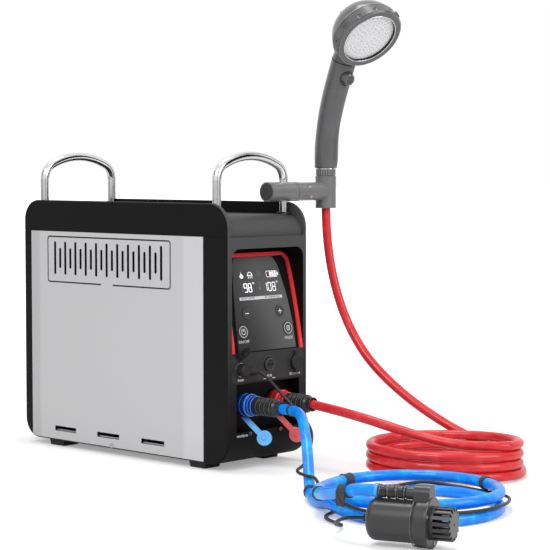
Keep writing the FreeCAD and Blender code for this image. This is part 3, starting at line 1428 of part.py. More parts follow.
def pump_socket_cap():
    """Dust cap of the pump socket, folded up out of the plug's way on its rubber strap."""
    x, z = dim("socket_x"), dim("socket_z")
    fold = math.radians(150.0)
    hinge = Vector(float(x), float(front) - 2.6, float(z) + 10.0)
    outward = Vector(0, -math.sin(fold), -math.cos(fold))
    plug = Vector(0, math.cos(fold), -math.sin(fold))
    disc = revolved("socket_cap_disc", [
        (0.0, -3.0), (8.6, -3.0), (8.6, -0.6), (2.9, -0.6), (2.9, 2.4), (0.0, 2.4),
    ], tuple(hinge + outward * 11.0), tuple(plug))
    strap = doc.addObject("Part::Box", "socket_cap_strap")
    strap.Length, strap.Width, strap.Height = 5.6, 7.0, 1.8
    strap.Placement = Placement(hinge + Vector(-2.8, 0, 0) - plug * 2.7,
                                Rotation(Vector(1, 0, 0), outward, plug, "XYZ"))
    return fuse("pump_socket_cap", disc, strap)


# ---------------------------------------------------------------- assembly

def build():
    """Every sub-part, in the order of assembly from the case outwards."""
    form = casing_form()
    core = casing_block("inner_form", wall)
    blower = (0.0, 95.0, float(PAN_TOP) + 3.0)
    impeller_start = pump_point(-14.0)
    tail_end = pump_point(-float(dim("collar_length")) - 36.7, dim("outlet_rise"))
    cable_end = pump_point(-float(dim("pump_length")) - 3.5)
    parts = [
        front_housing(form, core), rear_cover(form, core), base_pan(form, core),
        side_panel("left_side_panel", -1, form), side_panel("right_side_panel", 1, form),
        top_cap(form), handle("front_handle", -1), handle("rear_handle", 1), handle_nuts(), feet(),
        control_panel(), accent_strip(), *[push_button(name) for name in BUTTONS],
        port_plate(), panel_sockets(), fuse_cap(), charge_cap(), pump_socket_cap(),
        water_nipples(),
        lock_ring("inlet_lock_ring", -1), lock_ring("outlet_lock_ring", 1),
        coupler("inlet_coupler", -1), coupler("outlet_coupler", 1),
        stopper("inlet_stopper", -1, (-22.0, -196.5, 37.5)),
        stopper("outlet_stopper", 1, (33.6, -196.5, 35.5)),
        gas_inlet(), battery_pack(), display_board(), control_board(), fan_housing(),
        blade_wheel("fan_rotor", blower, (0, 0, 1), 9.0, 39.0, 3.07, 20.0, 1.5, 11, 1.6),
        combustion_chamber(), burner(), heat_exchanger(), exhaust_hood(), gas_valve(), igniter(),
        flow_sensor(),
        group("water_pipes", water_pipe("cold_pipe", -1, -120.0), water_pipe("hot_pipe", 1, -150.0)),
        holder_clamp(), holder_socket(), hose_nut(), shower_handle(),
        stop_button(), shower_head(), spray_bezel(), spray_plate(),
        pump_body(), pump_collar(), strainer_basket(),
        blade_wheel("pump_impeller", impeller_start, PUMP_AXIS, 4.6, 15.0, 2.47, 9.0, 1.4, 6, 1.6),
        power_plug(),
        group("red_hose", hose("red_riser", RED_RISER, dim("red_radius")),
              hose("red_lead", RED_LEAD, dim("red_radius"))),
        coil_ring("red_hose_coil", (95.5, -371.5, 0.0), 87.5, 72.5, -47.0, 9.5, 46.5),
        group("blue_hose", hose("blue_lead", BLUE_LEAD, dim("blue_radius")),
              hose("blue_tail", BLUE_TAIL, dim("blue_radius"), tail_end)),
        coil_ring("blue_hose_coil", (-92.0, -471.0, 0.0), 94.0, 88.0, 28.0, 16.0, 24.5),
        group("pump_cable", hose("cable_lead", CABLE_LEAD, dim("cable_radius")),
              hose("cable_tail", CABLE_TAIL, dim("cable_radius"), cable_end)),
    ]
    return parts


def check(parts):
    """Stop when a feature failed or a shape is empty or broken."""
    doc.recompute()
    failed = [item.Label for item in doc.Objects if {"Invalid", "Error"} & set(item.State)]
    if failed:
        raise RuntimeError("failed: " + ", ".join(failed))
    for item in parts:
        if item.Shape.isNull() or not item.Shape.isValid() or not item.Shape.Solids:
            raise RuntimeError("bad shape: " + item.Label)


os.makedirs("parts", exist_ok=True)
sub_parts = build()
check(sub_parts)
for sub_part in sub_parts:
    sub_part.Shape.exportStep("parts/%s.step" % sub_part.Label)
    print("%-22s %d solid(s) %10.1f mm3" % (sub_part.Label, len(sub_part.Shape.Solids),
                                            sub_part.Shape.Volume))
print("%d sub-parts" % len(sub_parts))
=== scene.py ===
import json
import math

import bpy
from mathutils import Matrix, Vector

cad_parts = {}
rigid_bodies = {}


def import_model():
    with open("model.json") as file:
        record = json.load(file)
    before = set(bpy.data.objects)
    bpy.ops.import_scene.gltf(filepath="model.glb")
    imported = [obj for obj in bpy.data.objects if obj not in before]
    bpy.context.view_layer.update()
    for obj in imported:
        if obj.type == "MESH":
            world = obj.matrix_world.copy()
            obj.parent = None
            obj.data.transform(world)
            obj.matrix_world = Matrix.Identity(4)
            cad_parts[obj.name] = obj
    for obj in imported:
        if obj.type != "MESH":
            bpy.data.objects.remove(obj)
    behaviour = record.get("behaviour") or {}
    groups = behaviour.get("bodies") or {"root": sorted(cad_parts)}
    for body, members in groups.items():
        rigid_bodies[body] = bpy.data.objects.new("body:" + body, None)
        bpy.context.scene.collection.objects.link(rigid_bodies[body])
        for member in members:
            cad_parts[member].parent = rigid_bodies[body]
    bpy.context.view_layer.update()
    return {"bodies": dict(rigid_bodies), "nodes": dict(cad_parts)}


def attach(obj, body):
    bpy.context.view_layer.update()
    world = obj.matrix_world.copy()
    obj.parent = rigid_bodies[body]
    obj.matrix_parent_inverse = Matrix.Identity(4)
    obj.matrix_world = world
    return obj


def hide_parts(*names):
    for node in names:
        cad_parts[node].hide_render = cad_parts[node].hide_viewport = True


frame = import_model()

bl_info = {
    "name": "Portable Water Heater",
    "version": (1, 0, 0),
    "blender": (4, 5, 0),
    "location": "3D View > Sidebar > Water Heater",
    "description": "Finishes, printing, hoses and fine parts of a portable gas water heater",
    "category": "Object",
}

# Sizes and places below are in millimetres, unless a line says otherwise.
MM = 0.001


# ---------------------------------------------------------------- settings

def colour(label, note, shade):
    """A colour that a user can change."""
    return bpy.props.FloatVectorProperty(name=label, description=note, subtype="COLOR", size=3,
                                         min=0.0, max=1.0, default=shade)


def length(label, note, amount):
    """A length in metres that a user can change."""
    return bpy.props.FloatProperty(name=label, description=note, unit="LENGTH", min=0.0,
                                   precision=5, default=amount)


class HeaterColours(bpy.types.PropertyGroup):
    """Colours of the heater, its hoses and what hangs on them."""
    case_black: colour("Case plastic", "Moulded shells of the case", (0.005, 0.005, 0.0053))
    # Painted sheen: the grey of the console face near the top of the case.
    painted_case_sheen: colour("Case sheen", "Console side of the case near its top", (0.070, 0.070, 0.071))
    panel_silver: colour("Side panels", "Powder coat of both side panels", (0.60, 0.60, 0.61))
    steel: colour("Bright steel", "Carry handles", (0.72, 0.72, 0.73))
    zinc: colour("Zinc sheet", "Base pan", (0.50, 0.51, 0.52))
    brass: colour("Brass", "Gas inlet, gas valve and water nipples", (0.62, 0.43, 0.16))
    copper: colour("Copper", "Heat exchanger and water pipes", (0.62, 0.30, 0.17))
    film_dark: colour("Console film, top", "Printed film at its upper edge", (0.050, 0.050, 0.050))
    film_light: colour("Console film, foot", "Printed film lower down", (0.028, 0.028, 0.029))
    accent: colour("Accent", "Strip round the console", (0.93, 0.05, 0.058))
    rubber: colour("Rubber", "Feet and grommets", (0.018, 0.018, 0.018))
    print_white: colour("Display", "Lit figures and icons", (0.88, 0.88, 0.90))
    hose_red: colour("Hot hose", "Shower hose", (0.66, 0.020, 0.026))
    hose_blue: colour("Cold hose", "Supply hose", (0.0, 0.240, 0.90))
    ring_blue: colour("Inlet ring", "Lock ring of the cold inlet", (0.008, 0.045, 0.38))
    ring_red: colour("Outlet ring", "Lock ring of the hot outlet", (0.68, 0.02, 0.03))
    stopper_blue: colour("Inlet stopper", "Tethered stopper, cold side", (0.11, 0.47, 0.98))
    stopper_red: colour("Outlet stopper", "Tethered stopper, hot side", (0.98, 0.14, 0.15))
    shower_grey: colour("Hand shower", "Grip, head and hose nut", (0.100, 0.100, 0.103))
    holder_grey: colour("Holder", "Clamp and socket of the holder", (0.165, 0.165, 0.168))
    nozzle_white: colour("Spray plate", "Plate with the nozzles", (0.76, 0.76, 0.77))
    pump_black: colour("Pump", "Pump barrel, collar and strainer", (0.036, 0.036, 0.037))
    strap_black: colour("Hose straps", "Webbing of the hose straps", (0.038, 0.038, 0.039))


class HeaterSizes(bpy.types.PropertyGroup):
    """Sizes of hoses, cable and fine parts."""
    red_bore: length("Hot hose diameter", "Outside diameter of the shower hose", 0.011)
    blue_bore: length("Cold hose diameter", "Outside diameter of the supply hose", 0.012)
    cable_bore: length("Cable diameter", "Outside diameter of the pump cable", 0.0035)
    digit_height: length("Digit height", "Height of the display numbers", 0.0109)
    caption_height: length("Caption height", "Height of the captions below the keys", 0.0034)
    strap_width: length("Strap width", "Width of the hose straps", 0.0125)
    screw_radius: length("Screw head", "Radius of the screws on the rear", 0.0026)


def tint(name):
    """A user colour by its property name."""
    return tuple(getattr(bpy.context.scene.heater_colours, name))


def span(name):
    """A user length in metres by its property name."""
    return getattr(bpy.context.scene.heater_sizes, name)


# ---------------------------------------------------------------- materials

class Flow:
    """An output socket that takes part in arithmetic."""

    def __init__(self, finish, socket):
        self.finish, self.socket = finish, socket

    def _maths(operation, swapped=False):
        """Method that feeds this socket and the other terms to a math node."""
        def apply(self, *others):
            terms = (*others, self) if swapped else (self, *others)
            return self.finish.node("ShaderNodeMath", {"operation": operation},
                                    dict(enumerate(terms)))
        return apply

    __add__ = __radd__ = _maths("ADD")
    __mul__ = __rmul__ = _maths("MULTIPLY")
    __sub__, __rsub__ = _maths("SUBTRACT"), _maths("SUBTRACT", swapped=True)
    __abs__, root, sine = _maths("ABSOLUTE"), _maths("SQRT"), _maths("SINE")
    less, over = _maths("LESS_THAN"), _maths("GREATER_THAN")
    most, least = _maths("MAXIMUM"), _maths("MINIMUM")

    def wave(self, stride):
        """Sine with one turn per stride."""
        return (self * (2 * math.pi / stride)).sine()


class Finish:
    """A material with one Principled BSDF, built by expressions."""

    def __init__(self, name, constants=None):
        self.material = bpy.data.materials.new(name)
        self.material.use_nodes = True
        self.tree = self.material.node_tree
        self.tree.nodes.clear()
        self.skin = self.tree.nodes.new("ShaderNodeBsdfPrincipled")
        output = self.tree.nodes.new("ShaderNodeOutputMaterial")
        self.tree.links.new(self.skin.outputs[0], output.inputs[0])
        for key, value in (constants or {}).items():
            self.skin.inputs[key].default_value = value
        self.spot = self.node("ShaderNodeTexCoord", out="Object")

    def node(self, kind, settings=None, values=None, out=0):
        """Any node by its type, its settings and the values or links of its sockets."""
        added = self.tree.nodes.new(kind)
        for key, value in (settings or {}).items():
            setattr(added, key, value)
        for key, value in (values or {}).items():
            self.feed(added.inputs[key], value)
        return Flow(self, added.outputs[out])

    def feed(self, socket, value):
        """Link or set a socket."""
        if isinstance(value, Flow):
            self.tree.links.new(value.socket, socket)
        elif socket.type == "RGBA":
            socket.default_value = (*value, 1.0)
        else:
            socket.default_value = value

    def set(self, **values):
        """Feed sockets of the Principled BSDF; an underscore stands for a space."""
        for key, value in values.items():
            self.feed(self.skin.inputs[key.replace("_", " ")], value)
        return self

    def axes(self):
        """Object coordinates as three numbers."""
        split = self.node("ShaderNodeSeparateXYZ", values={0: self.spot})
        return [Flow(self, output) * 1000.0 for output in split.socket.node.outputs]

    def noise(self, scale, detail=2.0, stretch=None):
        """Noise from 0 to 1; stretch scales the three axes first."""
        where = self.spot
        if stretch:
            where = self.node("ShaderNodeMapping", values={"Vector": where, "Scale": stretch})
        return self.node("ShaderNodeTexNoise",
                         values={"Vector": where, "Scale": scale, "Detail": detail})

    def mix(self, factor, first, second):
        """Colour between two colours."""
        return self.node("ShaderNodeMix", {"data_type": "RGBA"}, {0: factor, 6: first, 7: second},
                         out=2)

    def band(self, value, low, high):
        """0 at low, 1 at high and smooth between."""
        return self.node("ShaderNodeMapRange", {"interpolation_type": "SMOOTHSTEP"},
                         {0: value, 1: low, 2: high, 3: 0.0, 4: 1.0})

    def relief(self, height, depth, strength):
        """Bump from a height of 0 to 1 that stands for a depth."""
        values = {"Height": height, "Distance": depth * MM, "Strength": strength}
        self.set(Normal=self.node("ShaderNodeBump", values=values))
        return self.material


def shaded(finish, shade, share, grain):
    """A colour that wanders a share darker and lighter."""
    return finish.mix(grain, tuple(part * (1 - share) for part in shade),
                      tuple(min(1.0, part * (1 + share)) for part in shade))


def moulded(name, shade, rough=0.45, depth=0.06, scale=1500.0, share=0.10, coat=0.0):
    """Moulded plastic with a fine spark-eroded grain."""
    finish = Finish(name, {"Coat Weight": coat, "Coat Roughness": 0.2, "Specular IOR Level": 0.25})
    cloud = finish.noise(45.0)
    finish.set(Base_Color=shaded(finish, shade, share, cloud),
               Roughness=rough - 0.06 + cloud * 0.12)
    return finish.relief(finish.noise(scale, 3.0), depth, 0.6)


def glossy(name, shade, rough, scale=900.0, share=0.1, coat=0.5, depth=0.01):
    """Polished plastic under a clear coat."""
    return moulded(name, shade, rough, depth, scale, share, coat)


def rubbery(name, shade, rough=0.62):
    """Matt rubber or silicone with a faint bloom."""
    finish = Finish(name, {"Specular IOR Level": 0.4})
    cloud = finish.noise(160.0, 3.0)
    finish.set(Base_Color=shaded(finish, shade, 0.14, cloud), Roughness=rough + cloud * 0.12)
    return finish.relief(finish.noise(900.0), 0.04, 0.5)


def stopper_rubber(name, shade, deep):
    """Soft stopper, darker towards its tether ring at the top."""
    finish = Finish(name, {"Specular IOR Level": 0.35, "Coat Weight": 0.2, "Coat Roughness": 0.25})
    up = finish.axes()[2]
    cloud = finish.noise(160.0, 3.0)
    finish.set(Base_Color=finish.mix(finish.band(up, 48.0, 64.0),
                                     shaded(finish, shade, 0.12, cloud), deep),
               Roughness=0.38 + cloud * 0.12)
    return finish.relief(finish.noise(900.0), 0.04, 0.5)


def metal(name, shade, rough, stretch=None, scale=600.0, depth=0.01):
    """Bare metal; stretch draws the brushing out along an axis."""
    finish = Finish(name, {"Metallic": 1.0})
    brushed = finish.noise(scale, 3.0, stretch)
    finish.set(Base_Color=shaded(finish, shade, 0.08, brushed),
               Roughness=rough - 0.05 + brushed * 0.1)
    return finish.relief(brushed, depth, 0.4)


def zinc_sheet(name):
    """Galvanised sheet with its spangle."""
    finish = Finish(name, {"Metallic": 1.0})
    flake = finish.node("ShaderNodeTexVoronoi", {"feature": "F1"},
                        {"Vector": finish.spot, "Scale": 130.0}, out="Color")
    level = finish.node("ShaderNodeRGBToBW", values={0: flake})
    finish.set(Base_Color=shaded(finish, tint("zinc"), 0.12, level), Roughness=0.34 + level * 0.16)
    return finish.relief(finish.noise(700.0), 0.01, 0.3)


def board(name):
    """Circuit board: green mask with copper runs below it."""
    finish = Finish(name)
    side, along, up = finish.axes()
    runs = (side + up * 0.5).wave(3.2).over(0.55).most((up + along * 0.3).wave(5.0).over(0.72))
    finish.set(Base_Color=finish.mix(runs, (0.008, 0.09, 0.035), (0.02, 0.17, 0.06)),
               Roughness=0.35)
    return finish.relief(runs, 0.04, 0.5)


def shell_plastic(name):
    """Case plastic with a painted sheen that pales it up the console side, and painted shade that
    blacks out its openings.
    """
    finish = Finish(name, {"Specular IOR Level": 0.12})
    side, along, up = finish.axes()
    cloud = finish.noise(40.0)
    # The front face turns grey towards its top and stays black round the sides: a painted sheen.
    face = finish.band(along, -140.0, -178.0) * finish.band(up, 20.0, 285.0)
    face = face * abs(side).less(66.9)
    shade = finish.mix(face, shaded(finish, tint("case_black"), 0.12, cloud), tint("painted_case_sheen"))
    # Inside the console opening and the coupler recess the colour turns black: painted shade.
    console = abs(side).less(60.9) * up.over(102.8) * up.less(257.6)
    recess = abs(side).less(53.6) * up.over(44.8) * up.less(101.2)
    recess_shade = console.most(recess) * along.over(-181.8)
    finish.set(Base_Color=finish.mix(recess_shade, shade, (0.003, 0.003, 0.003)),
               Roughness=0.40 + cloud * 0.12)
    return finish.relief(finish.noise(1500.0, 3.0), 0.06, 0.6)


def frame_line(along, up, middle, half, corner, width):
    """Mask of a rounded frame line on the YZ plane."""
    out_y = abs(along - middle[0]) - (half[0] - corner)
    out_z = abs(up - middle[1]) - (half[1] - corner)
    past_y, past_z = out_y.most(0.0), out_z.most(0.0)
    reach = (past_y * past_y + past_z * past_z).root()
    return abs(reach + out_y.most(out_z).least(0.0) - corner).less(width / 2)


def powder_coat(name):
    """Silver powder coat with two painted reflection bands and the printed frame round the exhaust
    grille.
    """
    finish = Finish(name, {"Metallic": 0.15, "Specular IOR Level": 0.35})
    side, along, up = finish.axes()
    shade = tint("panel_silver")
    fine, cloud = finish.noise(2600.0), finish.noise(12.0)
    base = shaded(finish, shade, 0.035, fine * 0.6 + cloud * 0.4)
    # A paler band near the front and a darker band near the rear are painted reflections.
    for start, end, reflection_gain in ((-106.0, -112.0, 1.22), (148.0, 156.0, 0.75)):
        near = finish.band(along, start, end)
        base = finish.mix(near * 0.5, base, tuple(min(1.0, part * reflection_gain) for part in shade))
    gap = abs(along - 25.0).less(10.5) * up.less(220.0)
    line = frame_line(along, up, (24.35, 236.35), (111.15, 28.35), 3.5, 1.8) * (1.0 - gap)
    cut_edge = abs(side).less(67.42)
    finish.set(Base_Color=finish.mix(line.most(cut_edge), base, (0.010, 0.010, 0.011)),
               Roughness=0.42 + cloud * 0.08)
    return finish.relief(fine, 0.03, 0.35)


def console_film(name):
    """Satin printed film, paler towards its top right, with a faint display window."""
    finish = Finish(name, {"Coat Weight": 0.1, "Coat Roughness": 0.25, "Specular IOR Level": 0.2})
    side, _, up = finish.axes()
    shade = finish.mix(finish.band(up, 250.0, 140.0), tint("film_dark"), tint("film_light"))
    sweep = finish.band(side + up * 0.35, 20.0, 95.0)
    shade = finish.mix(sweep * 0.6, shade, (0.15, 0.15, 0.15))
    window = abs(side - 2.0).less(27.0) * abs(up - 215.0).less(17.0)
    finish.set(Base_Color=finish.mix(window * 0.10, shade, (0.0, 0.0, 0.0)),
               Roughness=0.36 + finish.noise(90.0) * 0.08)
    return finish.relief(finish.noise(1800.0), 0.02, 0.4)


def hose_skin(name, shade, light):
    """Glossy soft hose with a slight wall ripple and pale random streaks, partly bloom and partly
    a painted highlight.
    """
    finish = Finish(name, {"Coat Weight": 0.38, "Coat Roughness": 0.1, "Specular IOR Level": 0.22})
    cloud = finish.noise(70.0)
    # The pale second colour in random streaks is partly bloom and partly a painted highlight.
    bloom_and_highlight = finish.band(cloud, 0.45, 0.75)
    finish.set(Base_Color=finish.mix(bloom_and_highlight * 0.6, shade, light), Roughness=0.30 + cloud * 0.14)
    return finish.relief(finish.noise(420.0), 0.08, 0.5)


def gauze_wire(name):
    """Fine woven wire."""
    finish = Finish(name, {"Metallic": 0.6, "Specular IOR Level": 0.2})
    _, along, up = finish.axes()
    wire = (along.wave(1.6) * up.wave(1.6)).over(0.0)
    finish.set(Base_Color=finish.mix(wire, (0.003, 0.003, 0.003), (0.016, 0.016, 0.016)),
               Roughness=0.7)
    return finish.relief(wire, 0.2, 0.6)


def glow(name, shade, strength):
    """Marking with emission: the lit display, and printed or unlit marks given a faint painted
    glow.
    """
    finish = Finish(name, {"Emission Strength": strength, "Roughness": 0.4})
    tone = shaded(finish, shade, 0.06, finish.noise(1400.0))
    finish.set(Base_Color=tone, Emission_Color=tone)
    return finish.material


def made(name):
    """A material that is there already."""
    return bpy.data.materials[name]


def paint(nodes, material):
    """Give CAD nodes their finish."""
    for node in nodes.split():
        for slot in frame["nodes"][node].material_slots:
            slot.material = material


# ---------------------------------------------------------------- modelling

def only(piece):
    """Make a piece the only selected and the active one."""
    if bpy.context.object and bpy.context.object.mode != "OBJECT":
        done()
    bpy.ops.object.select_all(action="DESELECT")
    piece.select_set(True)
    bpy.context.view_layer.objects.active = piece


def fresh(name):
    """Name the object that an operator has just made and select it alone."""
    piece = bpy.context.object
    piece.name = piece.data.name = name
    only(piece)
    return piece


def settle():
    """Bake the active object's place and size into its mesh."""
    bpy.ops.object.transform_apply()


def pick(piece, test, kind="FACE"):
    """Enter edit mode with only the faces or edges selected that pass a test."""
    only(piece)
    data = piece.data
    for group in (data.vertices, data.edges, data.polygons):
        group.foreach_set("select", [False] * len(group))
    if kind == "FACE":
        for face in data.polygons:
            face.select = bool(test(face.center, face.normal))
    else:
        for edge in data.edges:
            edge.select = bool(test(*(data.vertices[number].co for number in edge.vertices)))
    bpy.context.tool_settings.mesh_select_mode = (False, kind == "EDGE", kind == "FACE")
    bpy.ops.object.mode_set(mode="EDIT")


def done():
    """Back to object mode."""
    bpy.ops.object.mode_set(mode="OBJECT")


def facing_up(centre, normal):
    """Test for faces that look up."""
    return normal.z > 0.9


def edit_all(piece):
    """Enter edit mode with every vertex selected."""
    only(piece)
    bpy.ops.object.mode_set(mode="EDIT")
    bpy.ops.mesh.select_mode(type="VERT")
    bpy.ops.mesh.select_all(action="SELECT")


def remove_picked():
    """Delete the picked faces."""
    bpy.ops.mesh.delete(type="FACE")
    done()


def outset(piece, test, thickness):
    """Inset the faces that pass a test by a thickness in metres, and stay in edit mode."""
    pick(piece, test)
    bpy.ops.mesh.inset(thickness=thickness, depth=0.0)


def drawn_up(amount):
    """Extrude what is selected along Z, in metres."""
    bpy.ops.mesh.extrude_region_move(TRANSFORM_OT_translate={"value": (0, 0, amount)})


def outward(piece):
    """Merge doubles and turn all faces outwards."""
    edit_all(piece)
    bpy.ops.mesh.remove_doubles(threshold=0.000002)
    bpy.ops.mesh.normals_make_consistent(inside=False)
    done()


def soften(piece, angle=35.0):
    """Smooth shading with sharp edges kept."""
    only(piece)
    bpy.ops.object.shade_smooth_by_angle(angle=math.radians(angle))
    return piece


def changed(piece, kind, **settings):
    """Apply a modifier."""
    only(piece)
    modifier = piece.modifiers.new("change", kind)
    for key, value in settings.items():
        setattr(modifier, key, value)
    bpy.ops.object.modifier_apply(modifier=modifier.name)


def rounded(piece, width, segments=2):
    """Bevel the sharp edges."""
    changed(piece, "BEVEL", width=width * MM, segments=segments, limit_method="ANGLE")


def cut(piece, cutter):
    """Take a cutter out of a piece and drop it."""
    changed(piece, "BOOLEAN", object=cutter, operation="DIFFERENCE")
    bpy.data.objects.remove(cutter)


def frame_at(place, normal, up=(0, 0, 1)):
    """Matrix with its Z along a normal, its Y near up, and its origin at a place."""
    z = Vector(normal).normalized()
    x = Vector(up).cross(z).normalized()
    matrix = Matrix((x, z.cross(x), z)).transposed().to_4x4()
    matrix.translation = Vector(place) * MM
    return matrix


def moved(x, y=0.0, z=0.0):
    """Matrix of a shift."""
    return Matrix.Translation(Vector((x, y, z)) * MM)


def turned(degrees, axis="Z"):
    """Matrix of a turn."""
    return Matrix.Rotation(math.radians(degrees), 4, axis)


def put(piece, matrix):
    """Move a piece and bake its place into its mesh."""
    piece.data.transform(matrix)
    piece.data.update()
    return piece


# Slots whose nodes share the body of the hand shower.
HANDSET = ("spray_plate", "shower_head", "shower_handle")


def fit(piece, matrix, material, slot=None):
    """Place a piece, give it its finish and material slot, and let the slot's body carry it."""
    if matrix:
        put(piece, matrix)
    piece.data.materials.clear()
    piece.data.materials.append(material)
    own_body = slot if slot in frame["bodies"] else "heater"
    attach(piece, "handset" if slot in HANDSET else own_body)
    return piece


def copied(piece, name):
    """A copy with its own mesh."""
    twin = piece.copy()
    twin.data = piece.data.copy()
    twin.name = twin.data.name = name
    bpy.context.scene.collection.objects.link(twin)
    return twin


def joined(pieces, name):
    """Several meshes made one."""
    bpy.ops.object.select_all(action="DESELECT")
    for piece in pieces:
        piece.select_set(True)
    bpy.context.view_layer.objects.active = pieces[0]
    bpy.ops.object.join()
    return fresh(name)


def spread(seed, places, name):
    """Copies of one mesh at several matrices, joined to one piece."""
    twins = [put(copied(seed, seed.name + "_copy"), place) for place in places]
    bpy.data.objects.remove(seed)
    return joined(twins, name)


def disc(name, radius, thick, sides=40, edge=0.0):
    """Round plate with a rounded rim, on its back face."""
    bpy.ops.mesh.primitive_cylinder_add(vertices=sides, radius=radius * MM, depth=thick * MM,
                                        location=(0, 0, thick / 2 * MM))
    piece = fresh(name)
    settle()
    outset(piece, facing_up, radius * 0.12 * MM)
    done()
    if edge:
        rounded(piece, edge)
    return soften(piece)


def ring(name, outer, inner, thick, sides=48, edge=0.0):
    """Flat ring: a disc that is inset, pierced and raised."""
    bpy.ops.mesh.primitive_circle_add(vertices=sides, radius=outer * MM, fill_type="NGON")
    piece = fresh(name)
    outset(piece, lambda c, n: True, (outer - inner) * math.cos(math.pi / sides) * MM)
    remove_picked()
    pick(piece, lambda c, n: True)
    drawn_up(thick * MM)
    done()
    outward(piece)
    if edge:
        rounded(piece, edge, 1)
    return soften(piece)


def block(name, size, corner=0.0, edge=0.0, plain=False, cushion=False):
    """Bar on its back face; corner rounds its upright edges, and with cushion all of them."""
    wide, deep, high = (part * MM for part in size)
    bpy.ops.mesh.primitive_cube_add(size=1, location=(0, 0, high / 2), scale=(wide, deep, high))
    piece = fresh(name)
    settle()
    if corner:
        pick(piece, lambda a, b: cushion or abs(a.z - b.z) > high / 2, "EDGE")
        bpy.ops.mesh.bevel(offset=corner * MM, segments=5, affect="EDGES")
        done()
    if not plain:
        outset(piece, facing_up, min(wide, deep) * 0.15)
        done()
    if edge:
        rounded(piece, edge)
    return soften(piece)


def sleeve(name, radius, wide, sides, cuts=1):
    """Open tube wall round the Z axis, its middle on the origin."""
    bpy.ops.mesh.primitive_circle_add(vertices=sides, radius=radius * MM)
    piece = fresh(name)
    edit_all(piece)
    for _ in range(cuts):
        drawn_up(wide / cuts * MM)
    done()
    put(piece, moved(0, 0, -wide / 2))
    outward(piece)
    return piece


def ridge_ring(name, radius, wide, proud, sides=56):
    """Raised ring that lies round a part's axis, its middle on the origin."""
    piece = sleeve(name, radius, wide, sides)
    changed(piece, "SOLIDIFY", thickness=proud * MM, offset=1.0)
    rounded(piece, min(wide, proud) * 0.28)
    return soften(piece, 50)


def cross_screw(name, radius):
    """Domed screw head with a cross recess."""
    reach = radius * MM
    bpy.ops.mesh.primitive_cylinder_add(vertices=28, radius=reach, depth=reach * 0.5,
                                        location=(0, 0, reach * 0.25))
    head = fresh(name)
    settle()
    pick(head, facing_up)
    bpy.ops.mesh.inset(thickness=reach * 0.22, depth=reach * 0.10)
    done()
    for turn in (0, 90):
        bpy.ops.mesh.primitive_cube_add(size=1, location=(0, 0, reach * 0.55),
                                        scale=(reach * 1.1, reach * 0.26, reach * 0.5))
        cutter = fresh("recess")
        settle()
        put(cutter, turned(turn))
        cut(head, cutter)
    return soften(head, 30)


PRINT_THICK = 0.08


def frame_outline(name, wide, high, line, corner):
    """Rounded rectangle outline as a thin print."""
    piece = block(name, (wide, high, PRINT_THICK), corner, plain=True)
    outset(piece, lambda c, n: abs(n.z) > 0.9, line * MM)
    bpy.ops.mesh.bridge_edge_loops()
    done()
    outward(piece)
    return piece


def teardrop(name, size):
    """Drop or flame: a disc with its upper part drawn to a point."""
    radius = size * 0.36
    piece = disc(name, radius, PRINT_THICK, 28)
    for limit, pull, lift in ((0.02, 0.72, 0.12), (0.30, 0.40, 0.22), (0.55, 0.25, 0.22)):
        pick(piece, lambda a, b: min(a.y, b.y) > radius * limit * MM, "EDGE")
        bpy.ops.transform.resize(value=(pull, 1, 1))
        bpy.ops.transform.translate(value=(0, size * lift * 0.5 * MM, 0))
        done()
    return piece


def lettering(name, words, height):
    """Words as a thin mesh, centred on the origin and facing +Z."""
    capitals = 0.69  # their height as a share of the font's size
    bpy.ops.object.text_add()
    piece = bpy.context.object
    piece.data.body = words
    piece.data.size = height * MM / capitals
    piece.data.align_x, piece.data.align_y = "CENTER", "CENTER"
    piece.data.extrude = PRINT_THICK * MM
    piece.data.resolution_u = 3
    only(piece)
    bpy.ops.object.convert(target="MESH")
    return fresh(name)


# ---------------------------------------------------------------- places on the heater

CONSOLE_RADIUS, CONSOLE_Y, CONSOLE_Z = 667.0, 479.4, 45.3
FRONT_Y, REAR_Y, PORT_X, PORT_Z = -182.0, 182.0, 27.0, 75.0
LEG_X, LEG_Y = 56.75, 153.5
ARM_Z, RISER_X = 322.0, 133.4
SPRAY_SPOT = Vector((117.1, -237.3, 503.0))
SPRAY_WAY = Vector((-0.13955, -0.71792, -0.68200))
REACH_WAY = Vector((-0.19081, -0.98163, 0.0))
PUMP_SPOT = Vector((-232.0, -609.2, 24.0))
PUMP_WAY = Vector((0.33051, -0.94380, 0.0))
PIPE_RISE = Vector((0, 0, 26.5))
STOPPER_SPOTS = {"inlet": Vector((-22.0, -196.5, 37.5)), "outlet": Vector((33.6, -196.5, 35.5))}


def console_at(x, z, lift=0.12):
    """Matrix on the curved console at x and height z, lifted off it."""
    rise = (z - CONSOLE_Z) / CONSOLE_RADIUS
    flat = math.sqrt(1 - rise * rise)
    reach = CONSOLE_RADIUS + lift
    return frame_at((x, CONSOLE_Y - reach * flat, CONSOLE_Z + reach * rise),
                    (0, -flat, rise), (0, rise, flat))


def front_at(x, z, lift=0.1):
    """Matrix on the flat front."""
    return frame_at((x, FRONT_Y - lift, z), (0, -1, 0))


def rear_at(x, z, lift=0.0):
    """Matrix on the flat rear."""
    return frame_at((x, REAR_Y + lift, z), (0, 1, 0))


def upright_at(place):
    """Matrix on an upright axis."""
    return frame_at(place, (0, 0, 1), (0, 1, 0))


def riser_at(height):
    """Matrix on the upright axis of the hose nut and its socket."""
    return upright_at((RISER_X, -LEG_Y, height))


def arm_at(x, way=(1, 0, 0)):
    """Matrix on the level axis of the shower holder."""
    return frame_at((x, -LEG_Y, ARM_Z), way)


